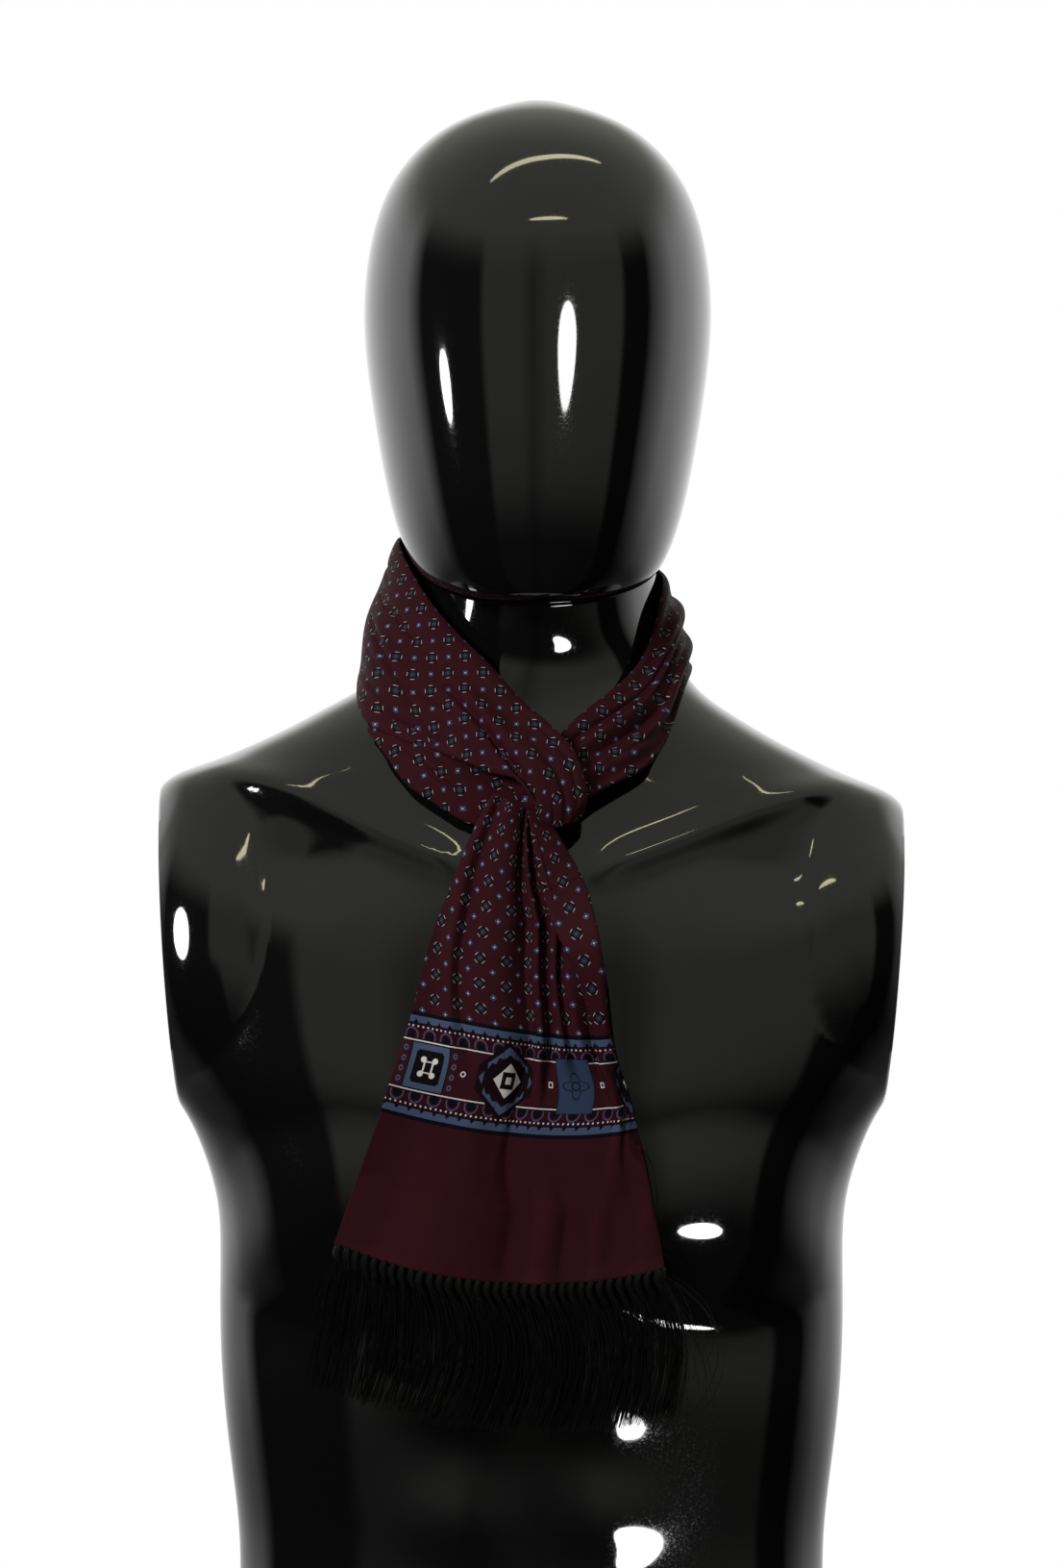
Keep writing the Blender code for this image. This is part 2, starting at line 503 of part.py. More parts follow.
# ------------------------------------------------------------------ fringe
def add_fringe(name, hem, locks, material):
    """A header strip just under the hem, with locks that stand apart and hang from its underside."""
    places = 2 * locks + 1
    top = hem - (0, 0, SEAM)
    bottom = top - (0, 0, HEADER_HEIGHT)
    count = len(top)
    points = list(top) + list(bottom)
    faces = lofted([top, bottom])
    for k in range(places):
        corners = (k, k + 1, count - 2 - k, count - 1 - k)
        faces.append(corners)
        above = [count + i for i in corners]
        if k % 2 == 0:
            faces.append(tuple(above))
            continue
        root = np.array([points[i] for i in above])
        centre = root.mean(axis=0)
        lean = sum(size * math.sin(rate * k) for size, rate in LOCK_LEANS)
        length = FRINGE_LENGTH * (1 - LOCK_SHORTER * abs(math.sin(0.83 * k)))
        for level, keep in LOCK_LEVELS:
            sway = LOCK_SWAY * math.sin(math.pi * level) + lean * level**2
            below = list(range(len(points), len(points) + 4))
            points.extend(centre + (root - centre) * (keep, keep, 0) + (sway, 0, -length * level))
            for a in range(4):
                faces.append((above[a], above[(a + 1) % 4], below[(a + 1) % 4], below[a]))
            above = below
        faces.append(tuple(above))
    return add_object(name, points, faces, material)


# ------------------------------------------------------------------ the whole object
for item in list(bpy.data.objects):
    bpy.data.objects.remove(item)

gloss_black = add_material("gloss_black_plastic", (0.004, 0.004, 0.005), 0.06, coat=1.0)
silk = add_material("burgundy_silk", (0.105, 0.012, 0.022), 0.55)
fringe_black = add_material("black_silk_fringe", (0.006, 0.005, 0.006), 0.6)

add_form(gloss_black)
add_band("neck_band_left", LOOP_SECTIONS, 0.0, LEFT_BACK, 22, silk)
add_band("neck_back", LOOP_SECTIONS, LEFT_BACK + SECTION_GAP, RIGHT_BACK - SECTION_GAP, 8, silk)
add_band("neck_band_right", LOOP_SECTIONS, RIGHT_BACK, len(LOOP_SECTIONS) - 1.0, 17, silk)
add_band("band_left_lower", LOWER_PLY_SECTIONS, 0.0, len(LOWER_PLY_SECTIONS) - 1.0, 7, silk)
add_band("back_tail", BACK_TAIL_SECTIONS, 0.0, len(BACK_TAIL_SECTIONS) - 1.0, 7, silk)
tail_end = len(TAIL_ROWS) - 1.0
add_wall("front_tail", tail_rings(np.linspace(0, tail_end, TAIL_STEPS), TAIL_POINTS), silk)

back_end = np.array([len(BACK_TAIL_SECTIONS) - 1.0])
front_hem = tail_rings([tail_end], 2 * FRONT_LOCKS + 2, HEADER_DEPTH, 0.0)[0]
back_hem = band_rings(BACK_TAIL_SECTIONS, back_end, HEADER_DEPTH, 2 * BACK_LOCKS + 2)[0]
add_fringe("front_fringe", front_hem, FRONT_LOCKS, fringe_black)
add_fringe("back_fringe", back_hem, BACK_LOCKS, fringe_black)
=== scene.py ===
import math
from functools import partialmethod

import bpy
import numpy as np
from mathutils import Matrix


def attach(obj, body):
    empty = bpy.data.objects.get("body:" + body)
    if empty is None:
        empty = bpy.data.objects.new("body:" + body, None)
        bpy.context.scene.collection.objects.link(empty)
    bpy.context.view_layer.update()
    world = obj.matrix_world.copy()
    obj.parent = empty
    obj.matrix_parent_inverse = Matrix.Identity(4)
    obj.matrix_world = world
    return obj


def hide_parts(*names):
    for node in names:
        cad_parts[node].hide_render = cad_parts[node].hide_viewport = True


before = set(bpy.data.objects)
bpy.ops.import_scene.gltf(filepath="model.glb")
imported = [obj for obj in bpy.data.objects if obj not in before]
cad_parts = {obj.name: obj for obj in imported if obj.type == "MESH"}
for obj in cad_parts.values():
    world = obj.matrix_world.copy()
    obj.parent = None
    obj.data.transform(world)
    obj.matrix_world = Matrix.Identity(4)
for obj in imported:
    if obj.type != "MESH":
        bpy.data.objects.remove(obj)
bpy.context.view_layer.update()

# ---------- studio: camera, floor and soft light
# The form stands on a white floor in front of a white wall. A large soft box at the left lights the cloth.
# The room is grey in front, dark at both sides and white behind. The gloss mirrors it and a few bright boxes.
PIXELS_PER_METRE = 2100  # of the photograph, where the form's axis is
PHOTO_PIXELS_TALL = 1631
SENSOR = 24.0
CAMERA_FAR, CAMERA_HEIGHT = 2.5, 0.508
LIT_HEIGHT = 0.62  # the lights are aimed at the neck
LAMP_OLIVE = (1.0, 0.93, 0.60)
ROOM_GREY = (0.25, 0.25, 0.228)
ROOM_SEAM = (0.13, 0.13, 0.115)  # a darker upright strip in front
ROOM_DARK = (0.018, 0.018, 0.018)
WALL_WHITE = (1.0, 1.0, 1.0)
WALL_EDGE = (0.30, 0.30, 0.29)  # where the white wall begins at the right
CEILING_GREY = (0.37, 0.37, 0.33)
ROOM_STOPS = (
    # degrees round from the front, plus to the right; colour there
    (-106, WALL_WHITE),
    (-92, ROOM_DARK),
    (-43, ROOM_DARK),
    (-38, ROOM_GREY),
    (-12, ROOM_GREY),
    (-3, ROOM_SEAM),
    (7, ROOM_GREY),
    (63, ROOM_GREY),
    (67, ROOM_DARK),
    (86, ROOM_DARK),
    (92, WALL_EDGE),
    (112, WALL_WHITE),
)
FLOOR_SHINE = 0.07  # share of the room's light that comes up from its floor
FLOOR_RADIUS, FLOOR_SIDES = 0.25, 64


def add_object(name, data):
    """A new object in the scene that holds this data."""
    made = bpy.data.objects.new(name, data)
    bpy.context.collection.objects.link(made)
    return made


camera = add_object("camera", bpy.data.cameras.new("camera"))
camera.data.sensor_fit = "VERTICAL"
camera.data.sensor_height = SENSOR
camera.data.lens = SENSOR * CAMERA_FAR * PIXELS_PER_METRE / PHOTO_PIXELS_TALL
camera.location = (0.0, -CAMERA_FAR, CAMERA_HEIGHT)
camera.rotation_euler = (math.pi / 2, 0.0, 0.0)
bpy.context.scene.camera = camera


def soft_box(name, azimuth, elevation, far, width, height, power, colour=WALL_WHITE, mirrored=True):
    """A rounded area light at a bearing from the form (0 is in front, plus is to the right), turned to face
    it. A mirrored one is there for the gloss of the form, the other kind for the cloth and the floor."""
    light = bpy.data.lights.new(name, "AREA")
    light.shape = "ELLIPSE"
    light.size, light.size_y = width, height
    light.energy = power
    light.color = colour
    box = add_object(name, light)
    turn, lift = math.radians(azimuth), math.radians(elevation)
    away = np.array([math.sin(turn) * math.cos(lift), -math.cos(turn) * math.cos(lift), math.sin(lift)])
    box.location = np.array([0.0, 0.0, LIT_HEIGHT]) + away * far
    box.rotation_euler = (math.pi / 2 - lift, 0.0, turn)
    box.visible_camera = False
    box.visible_glossy, box.visible_diffuse = mirrored, not mirrored
    return box


soft_box("cloth_light", -40, 16, 2.4, 0.9, 0.7, 40, mirrored=False)
tall_box = soft_box("tall_box", 20, 9, 2.6, 0.60, 0.54, 13)
side_box_high = soft_box("side_box_high", -72, 3, 2.4, 0.34, 0.26, 6)
side_box_low = soft_box("side_box_low", -72, 0, 2.4, 0.70, 0.80, 30)
low_box_right = soft_box("low_box_right", 30, -32, 2.4, 1.00, 0.34, 19)
soft_box("lamp_above", 9, 46, 2.4, 0.9, 0.09, 1.5, LAMP_OLIVE)
soft_box("lamp_overhead", 20, 84, 2.2, 2.2, 0.14, 4.2, LAMP_OLIVE)


def fill(tree, sockets, values):
    """Links other nodes' outputs to these sockets, or sets numbers or colours on them."""
    for socket, value in zip(sockets, values):
        if isinstance(value, bpy.types.NodeSocket):
            tree.links.new(value, socket)
        else:
            socket.default_value = (*value, 1.0) if isinstance(value, tuple) else value


def set_sockets(tree, node, **values):
    """Fills sockets of a node by their names."""
    names = [name.replace("_", " ").title().replace("Ior", "IOR") for name in values]
    fill(tree, [node.inputs[name] for name in names], values.values())
    return node


def add_node(tree, kind, **values):
    """A new shader node with these sockets filled."""
    return set_sockets(tree, tree.nodes.new("ShaderNode" + kind), **values)


def calculate(tree, operation, *values):
    """What a Math node makes of these values."""
    node = add_node(tree, "Math")
    node.operation = operation
    fill(tree, node.inputs, values)
    return node.outputs[0]


def mix_colours(tree, share, first, second):
    """The first colour where the share is 0, the second where it is 1."""
    mixed = add_node(tree, "Mix")
    mixed.data_type = "RGBA"
    fill(tree, (mixed.inputs[0], *mixed.inputs[6:8]), (share, first, second))
    return mixed.outputs[2]


def new_material(name, **values):
    """A Principled material with these sockets set, and its node tree."""
    material = bpy.data.materials.new(name)
    material.use_nodes = True
    set_sockets(material.node_tree, material.node_tree.nodes["Principled BSDF"], **values)
    return material, material.node_tree


world = bpy.data.worlds.new("studio")
bpy.context.scene.world = world
world.use_nodes = True
sky = world.node_tree
to_right, to_back, upwards = add_node(
    sky, "SeparateXYZ", vector=add_node(sky, "TexCoord").outputs["Generated"]
).outputs
bearing = calculate(sky, "ARCTAN2", to_right, calculate(sky, "MULTIPLY", to_back, -1.0))
share = add_node(sky, "MapRange", value=bearing, from_min=-math.pi, from_max=math.pi)
round_room = add_node(sky, "ValToRGB", fac=share.outputs["Result"])
stops = round_room.color_ramp.elements
for degrees, colour in ROOM_STOPS:
    stop = stops.new((degrees + 180) / 360)
    stop.color = (*colour, 1.0)
stops.remove(stops[0])
stops.remove(stops[-1])


def fade(value, low, high, at_low=0.0):
    """A soft step of this value from `at_low` to 1."""
    step = add_node(sky, "MapRange", value=value, from_min=low, from_max=high, to_min=at_low)
    step.interpolation_type = "SMOOTHSTEP"
    return step.outputs["Result"]


ceiling = mix_colours(sky, fade(to_back, 0.80, 1.05), CEILING_GREY, WALL_WHITE)
above_floor = mix_colours(sky, fade(upwards, 0.28, 0.62), round_room.outputs["Color"], ceiling)
dimmed = add_node(sky, "VectorMath")
dimmed.operation = "SCALE"
set_sockets(sky, dimmed, vector=above_floor, scale=fade(upwards, -0.42, 0.10, FLOOR_SHINE))
room = set_sockets(sky, sky.nodes["Background"], color=dimmed.outputs["Vector"], strength=1.0)
wall = add_node(sky, "Background", color=WALL_WHITE, strength=1.0)
either = add_node(sky, "MixShader")
in_view = add_node(sky, "LightPath").outputs["Is Camera Ray"]
fill(sky, either.inputs, (in_view, room.outputs[0], wall.outputs[0]))
set_sockets(sky, sky.nodes["World Output"], surface=either.outputs[0])
bpy.context.scene.view_settings.view_transform = "Standard"

sweep = np.linspace(0.0, 2 * math.pi, FLOOR_SIDES, endpoint=False)
rim = FLOOR_RADIUS * np.stack([np.cos(sweep), np.sin(sweep), 0 * sweep], axis=1)
floor_mesh = bpy.data.meshes.new("floor")
floor_mesh.from_pydata(rim.tolist(), [], [list(range(FLOOR_SIDES))])
floor_mesh.materials.append(new_material("white_floor", base_color=(0.66, 0.66, 0.66), roughness=0.9)[0])
floor = add_object("floor", floor_mesh)

# ---------- torso of the form
# A moulded plastic torso and neck, sprayed gloss black. It is one hollow shell in the shop; here it is drawn
# with the solid's own rings, closer together, and with the muscles of the chest as shallow mounds.
HEAD_X = 0.003
SHOULDER_DROP = 0.025  # how much lower the shoulders are for each metre to the right
SHOULDER_FROM, SHOULDER_TO = (0.42, 0.08), (0.54, 0.03)  # height where that starts or ends, and over how much
CUT_LOW, CUT_HIGH = (0.3535, 0.1736), (0.5150, 0.1845)  # height and half-width at the armhole cuts
LEAST_FLAT = math.radians(12)  # of turn that half an arm cut takes on every ring
TORSO_RINGS = (
    # z, slope, half_width, front, back, side_y, roundness, side_x
    (0.0000, 0.0, 0.1500, 0.088, 0.098, 0.000, 2.30, 0.0),
    (0.0600, 0.0, 0.1460, 0.084, 0.090, 0.000, 2.30, 0.0),
    (0.1200, 0.0, 0.1440, 0.083, 0.084, 0.000, 2.30, 0.0),
    (0.1600, 0.0, 0.1467, 0.085, 0.082, 0.000, 2.30, 0.0),
    (0.2050, 0.0, 0.1520, 0.088, 0.083, 0.000, 2.30, 0.0),
    (0.2540, 0.0, 0.1540, 0.092, 0.088, 0.000, 2.30, 0.0),
    (0.2960, 0.0, 0.1545, 0.096, 0.094, 0.000, 2.30, 0.0),
    (0.3250, 0.0, 0.1614, 0.099, 0.098, 0.000, 2.30, 0.0),
    (0.3440, 0.0, 0.1700, 0.101, 0.101, 0.001, 2.30, 0.0),
    (0.3600, 0.0, 0.1800, 0.102, 0.104, 0.001, 2.30, 0.0),
    (0.3850, 0.0, 0.1920, 0.102, 0.108, 0.002, 2.30, 0.0),
    (0.4150, 0.0, 0.2000, 0.100, 0.111, 0.003, 2.30, 0.0),
    (0.4450, 0.0, 0.2010, 0.096, 0.112, 0.004, 2.30, 0.0),
    (0.4700, 0.0, 0.1970, 0.090, 0.107, 0.005, 2.25, 0.0),
    (0.4900, 0.0, 0.1895, 0.085, 0.101, 0.006, 2.20, 0.0),
    (0.5059, 0.0, 0.1800, 0.081, 0.096, 0.007, 2.20, 0.0),
    (0.5154, 0.0, 0.1590, 0.079, 0.092, 0.008, 2.15, 0.0),
    (0.5249, 0.0, 0.1370, 0.077, 0.088, 0.008, 2.10, 0.0),
    (0.5344, 0.0, 0.1180, 0.074, 0.084, 0.008, 2.10, 0.0),
    (0.5440, 0.0, 0.1010, 0.070, 0.080, 0.007, 2.05, 0.0),
    (0.5540, 0.0, 0.0850, 0.066, 0.076, 0.005, 2.00, 0.0),
    (0.5660, 0.050, 0.0730, 0.0630, 0.0730, 0.003, 2.0, HEAD_X / 2),
    (0.5800, 0.150, 0.0650, 0.0610, 0.0670, 0.000, 2.0, HEAD_X),
    (0.5970, 0.270, 0.0602, 0.0610, 0.0620, -0.003, 2.0, HEAD_X),
    (0.6176, 0.374, 0.0585, 0.0620, 0.0590, -0.005, 2.0, HEAD_X),
)
TORSO_ROWS = 260
TORSO_COLUMNS = 22, 88  # grid columns across each arm cut, and across the back or the front
CHEST_DOMES = (
    # height, x, z, inner, outer, above, below, soft_above, soft_below
    (0.009, 0.098, 0.310, 0.092, 0.075, 0.165, 0.062, 1.3, 0.9),  # breast muscle
    (0.006, 0.094, 0.298, 0.072, 0.062, 0.056, 0.044, 1.6, 1.3),  # its full lower part
    (0.012, 0.172, 0.448, 0.044, 0.040, 0.066, 0.080, 1.0, 1.0),  # shoulder
)
CHEST_BELLS = (
    # height, x, x_width, z, z_width
    (-0.005, 0.112, 0.022, 0.468, 0.018),  # hollow under the collarbone
    (-0.003, 0.098, 0.050, 0.245, 0.026),  # hollow under the ribs
    (0.0022, 0.037, 0.024, 0.215, 0.020),  # upper row of the belly
    (0.0022, 0.037, 0.024, 0.155, 0.022),  # lower row of the belly
)
COLLARBONE = (0.004, 0.008, 0.038, 0.470, 0.40)  # height, width, x and z of its inner end, slope


def spline(keys, values, at):
    """Natural cubic spline: between keys, a value is the straight line plus its cubic share of the bends."""
    keys = np.asarray(keys, float)
    values = np.asarray(values, float)
    at = np.clip(np.asarray(at, float), keys[0], keys[-1])
    step = np.diff(keys)
    rise = np.diff(values, axis=0) / step.reshape((-1,) + (1,) * (values.ndim - 1))
    system = np.eye(len(keys))
    right = np.zeros_like(values)
    for i in range(1, len(keys) - 1):
        system[i, i - 1 : i + 2] = step[i - 1], 2 * (step[i - 1] + step[i]), step[i]
        right[i] = 6 * (rise[i] - rise[i - 1])
    bend = np.linalg.solve(system, right)
    k = np.clip(np.searchsorted(keys, at, side="right") - 1, 0, len(keys) - 2)
    tail = at.shape + (1,) * (values.ndim - 1)
    h = step[k].reshape(tail)
    a = (keys[k + 1] - at).reshape(tail) / h
    b = 1.0 - a
    cubic = ((a**3 - a) * bend[k] + (b**3 - b) * bend[k + 1]) * h**2 / 6
    return a * values[k] + b * values[k + 1] + cubic


def ease(x):
    """Smooth step from 0 to 1: 3x squared less 2x cubed."""
    x = np.clip(x, 0.0, 1.0)
    return x * x * (3 - 2 * x)


def dome(x, z, height, centre_x, centre_z, inner, outer, above, below, soft_above, soft_below):
    """A rounded mound on an ellipse round its centre, which reaches `inner` and `outer` in x and `above` and
    `below` in z. A power sets how sharply it meets the surface there: `soft_above` or `soft_below`."""
    dx, dz = x - centre_x, z - centre_z
    across = dx / np.where(dx < 0, inner, outer)
    up = dz / np.where(dz > 0, above, below)
    inside = np.clip(1 - across**2 - up**2, 0, 1)
    side = ease(dz / 0.05 + 0.5)
    return height * inside ** (soft_above * side + soft_below * (1 - side))


def chest_muscles(x, z):
    """How far the front swells, the same on both sides of the breastbone: the sum of the domes, of a bell for
    each hollow and each muscle of the belly, and of a raised line for the collarbone."""
    x = np.abs(x)
    out = sum(dome(x, z, *row) for row in CHEST_DOMES)
    for height, middle, width, level, tall in CHEST_BELLS:
        out += height * np.exp(-(((x - middle) / width) ** 2) - ((z - level) / tall) ** 2)
    height, width, inner_x, inner_z, slope = COLLARBONE
    line = z - inner_z - slope * (x - inner_x)
    return out + height * np.exp(-((line / width) ** 2)) * ease((x - 0.02) / 0.03)


def form_surface(rows, last, rings, columns):
    """Points of the form on a grid of height and turn: each ring is a squared ellipse, deeper behind than in
    front, cut flat at the arms, with a plane that rises towards the back by its slope."""
    read = spline(np.arange(len(rings)), rings, np.linspace(0, last, rows))
    z, slope, half, front, back, side_y, roundness, side_x = read.T[..., None]
    (z0, x0), (z1, x1) = CUT_LOW, CUT_HIGH
    cut = x0 + (x1 - x0) * (z - z0) / (z1 - z0)
    power = 2.0 / roundness
    ratio = np.clip(cut / np.maximum(half, 1e-6), 0.0, 1.0)
    flat = np.maximum(LEAST_FLAT, np.arccos(ratio ** (1 / power)))
    a, b = (np.linspace(0, 1, count, endpoint=False)[None] for count in columns)
    right, behind = 2 * flat * a - flat, flat + (math.pi - 2 * flat) * b
    turn = np.concatenate([right, behind, right + math.pi, behind + math.pi], axis=1)
    cosine, sine = np.cos(turn), np.sin(turn)
    x = half * np.sign(cosine) * np.abs(cosine) ** power
    y = np.where(sine > 0, back, front) * np.sign(sine) * np.abs(sine) ** power
    x = np.where((slope == 0.0) | (z < z1), np.clip(x, -cut, cut), x)
    height = z + slope * y
    y = y + side_y - np.where(sine < 0, chest_muscles(x, height) * np.clip(-sine * 2.5, 0, 1), 0.0)
    (low, low_fade), (high, high_fade) = SHOULDER_FROM, SHOULDER_TO
    on_shoulder = ease((height - low) / low_fade) * (1 - ease((height - high) / high_fade))
    return np.stack([x + side_x, y, height - SHOULDER_DROP * x * on_shoulder], axis=2)


def grid_faces(rows, columns, closed):
    """Quads of a grid of points, row by row, joined round its last column where it is closed."""
    row = np.arange(rows - 1)[:, None] * columns
    here = np.arange(columns if closed else columns - 1)[None]
    after = (here + 1) % columns
    quads = np.stack([row + here, row + after, row + columns + after, row + columns + here], axis=2)
    return quads.reshape(-1, 4)


def add_piece(name, points, faces, material, nodes, sharp=40):
    """An object at the origin from points and faces, riding on the part and standing for its solids."""
    mesh = bpy.data.meshes.new(name)
    mesh.from_pydata(points.reshape(-1, 3).tolist(), [], faces)
    mesh.update()
    mesh.materials.append(material)
    mesh.shade_smooth()
    mesh.set_sharp_from_angle(angle=math.radians(sharp))
    piece = add_object(name, mesh)
    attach(piece, "root")
    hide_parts(*nodes)
    return piece


def gloss_black():
    """Sprayed gloss black: a faint ripple in the lacquer and a little dust that dulls it in places."""
    black = (0.0035, 0.0035, 0.004)
    material, tree = new_material(
        "form_gloss_black", base_color=black, roughness=0.05, coat_weight=0.6, coat_roughness=0.02
    )
    place = add_node(tree, "TexCoord").outputs["Object"]
    ripple = add_node(tree, "TexNoise", vector=place, scale=26.0, detail=1.0)
    bump = add_node(tree, "Bump", strength=0.05, distance=0.001, height=ripple.outputs["Fac"])
    dust = add_node(tree, "TexNoise", vector=place, scale=900.0)
    dull = add_node(
        tree, "MapRange", value=dust.outputs["Fac"], from_min=0.45, from_max=0.75, to_min=0.04, to_max=0.11
    )
    shader = tree.nodes["Principled BSDF"]
    set_sockets(tree, shader, normal=bump.outputs["Normal"], roughness=dull.outputs["Result"])
    return material


form_gloss = gloss_black()
points = form_surface(TORSO_ROWS, len(TORSO_RINGS) - 1, TORSO_RINGS, TORSO_COLUMNS)
points[0, :, 2] = 0.0
around = points.shape[1]
faces = grid_faces(TORSO_ROWS, around, True).tolist()
faces.append(list(range(around))[::-1])
faces.append(list(range((TORSO_ROWS - 1) * around, TORSO_ROWS * around)))
torso = add_piece("torso", points, faces, form_gloss, ["form_torso"])

# ---------- head of the form
# The egg-shaped head is a second moulding, plain and without a face. It plugs into the neck and leaves a thin
# dark seam under the chin.
HEAD_ROUNDNESS = 2.08
CROWN = (HEAD_X, -0.010, 0.8450)
HEAD_RINGS = (
    # z, slope, half_width, front, back, side_y
    (0.6176, 0.374, 0.0585, 0.062, 0.059, -0.005),
    (0.6195, 0.345, 0.0602, 0.078, 0.061, -0.006),
    (0.6260, 0.320, 0.0645, 0.093, 0.064, -0.008),
    (0.6400, 0.260, 0.0702, 0.100, 0.070, -0.010),
    (0.6650, 0.180, 0.0762, 0.104, 0.080, -0.012),
    (0.7050, 0.100, 0.0828, 0.105, 0.092, -0.013),
    (0.7392, 0.040, 0.0855, 0.104, 0.100, -0.013),
    (0.7700, 0.000, 0.0828, 0.099, 0.100, -0.013),
    (0.7963, 0.000, 0.0752, 0.088, 0.092, -0.012),
    (0.8165, 0.000, 0.0622, 0.072, 0.077, -0.011),
    (0.8320, 0.000, 0.0430, 0.049, 0.052, -0.010),
    (0.8415, 0.000, 0.0190, 0.022, 0.023, -0.010),
)
HEAD_ROWS = 170
HEAD_COLUMNS = 14, 76  # grid columns at each side, and across the back or the front
SEAM = 0.0003  # between the head's foot and the neck
head_rings = [(*row, HEAD_ROUNDNESS, HEAD_X) for row in HEAD_RINGS]
crown_ring = (CROWN[2], 0.0, 0.0, 0.0, 0.0, CROWN[1], HEAD_ROUNDNESS, HEAD_X)
# Past the crown the last rings come again, mirrored, so that the surface is level where it closes.
beyond = [(z, slope, -w, -f, -b, *rest) for z, slope, w, f, b, *rest in reversed(head_rings[-3:])]
points = form_surface(HEAD_ROWS, len(head_rings), [*head_rings, crown_ring, *beyond], HEAD_COLUMNS)[:-1]
points[0, :, 2] += SEAM
around = points.shape[1]
faces = grid_faces(HEAD_ROWS - 1, around, True).tolist()
faces.append(list(range(around))[::-1])
pole = (HEAD_ROWS - 1) * around
faces += [[pole - around + k, pole - around + (k + 1) % around, pole] for k in range(around)]
points = np.concatenate([points.reshape(-1, 3), [CROWN]])
head = add_piece("head", points, faces, form_gloss, ["form_head"])

# Each of these boxes lights only the head or only the torso, as if a card stood before the other one.
for box, piece in ((tall_box, head), (low_box_right, torso), (side_box_high, head), (side_box_low, torso)):
    lit = bpy.data.collections.new(box.name + "_lit")
    lit.objects.link(piece)
    box.light_linking.receiver_collection = lit

# ---------- printed silk of the scarf
# One strip of burgundy silk twill, 165 mm wide, screen-printed: small medallions with dots between them in a
# square repeat, and near each end a border with larger figures. Below the border the silk is plain.
CLOTH_WIDTH = 0.165
SILK_THICK = 0.0005
REPEAT = 0.0129  # from medallion to medallion
RIB_PITCH, RIB_DEPTH = 0.00055, 0.00006
BORDER_MIDDLE, BORDER_HALF = 0.0903, 0.0243  # height above the hem, and half the border's height
SQUARE_AT = 0.0150  # the large figures' places across the cloth, from its left edge
DIAMOND_AT, PANEL_AT = SQUARE_AT + 3 * REPEAT, SQUARE_AT + 6 * REPEAT
SMALL_RING_AT = 0.0320
BURGUNDY = (0.035, 0.0074, 0.011)
MAROON = (0.026, 0.005, 0.010)
NAVY = (0.0050, 0.0045, 0.0085)
DOT_NAVY = (0.010, 0.010, 0.022)
SLATE = (0.058, 0.080, 0.145)
DOT_BLUE = (0.060, 0.070, 0.130)
PANEL_BLUE = (0.030, 0.046, 0.092)
LAVENDER = (0.070, 0.058, 0.110)
MEDALLION_GREY = (0.022, 0.023, 0.028)
MEDALLION_CENTRE = (0.050, 0.054, 0.070)
WHITE = (0.62, 0.60, 0.56)
DIM_WHITE = (0.440, 0.415, 0.420)
DOT_EDGE = (0.010, 0.005, 0.012)
SQUARE_BLACK = (0.005, 0.004, 0.006)
DIAMOND_BLACK = (0.010, 0.004, 0.007)
CENTRE_BLACK = (0.008, 0.005, 0.007)


class Ink:
    """A value in the silk's node tree. Its operators add Math nodes, so a motif is written as a formula, and
    a mask is 1 inside and 0 outside. Lengths are in metres of flat cloth."""

    def __init__(self, tree, socket):
        self.tree, self.socket = tree, socket

    def apply(self, operation, *values):
        sockets = [value.socket if isinstance(value, Ink) else value for value in (self, *values)]
        return Ink(self.tree, calculate(self.tree, operation, *sockets))

    __add__ = partialmethod(apply, "ADD")
    __sub__ = partialmethod(apply, "SUBTRACT")
    __mul__ = partialmethod(apply, "MULTIPLY")
    __truediv__ = partialmethod(apply, "DIVIDE")
    __lt__ = partialmethod(apply, "LESS_THAN")
    __gt__ = partialmethod(apply, "GREATER_THAN")
    __and__ = partialmethod(apply, "MULTIPLY")
    __or__ = partialmethod(apply, "MAXIMUM")
    __abs__ = partialmethod(apply, "ABSOLUTE")

    def between(self, low, high):
        return (self > low) & (self < high)

    def nearest(self, pitch, shift=0.0):
        """Distance to the nearest of lines that stand `pitch` apart, one of them at `shift`."""
        return (self - shift).apply("PINGPONG", pitch / 2)


def radius(x, y):
    """Distance from the middle of a motif: the root of x squared plus y squared."""
    return (x * x + y * y).apply("SQRT")


def print_lattice(paint, u, v, shift_u, shift_v):
    """The all-over repeat: medallions with four white dashes on their diagonals, and dots in diamonds."""
    x, y = u.nearest(REPEAT, shift_u), v.nearest(REPEAT, shift_v)
    r = radius(x, y)
    diagonal, beside = (x + y) * 0.7071, abs(x - y) * 0.7071
    paint((r < 0.0026) & (diagonal < 0.0024), NAVY)
    paint(r < 0.0017, MEDALLION_GREY)
    paint(r < 0.0007, MEDALLION_CENTRE)
    paint(diagonal.between(0.00250, 0.00280) & (beside < 0.00100), DIM_WHITE)
    x, y = x * -1.0 + REPEAT / 2, y * -1.0 + REPEAT / 2
    r, diamond = radius(x, y), x + y
    paint(diamond < 0.0020, DOT_EDGE)
    paint(diamond < 0.0017, DOT_BLUE)
    paint(r < 0.0008, DOT_NAVY)
    paint(r < 0.00048, DIM_WHITE)


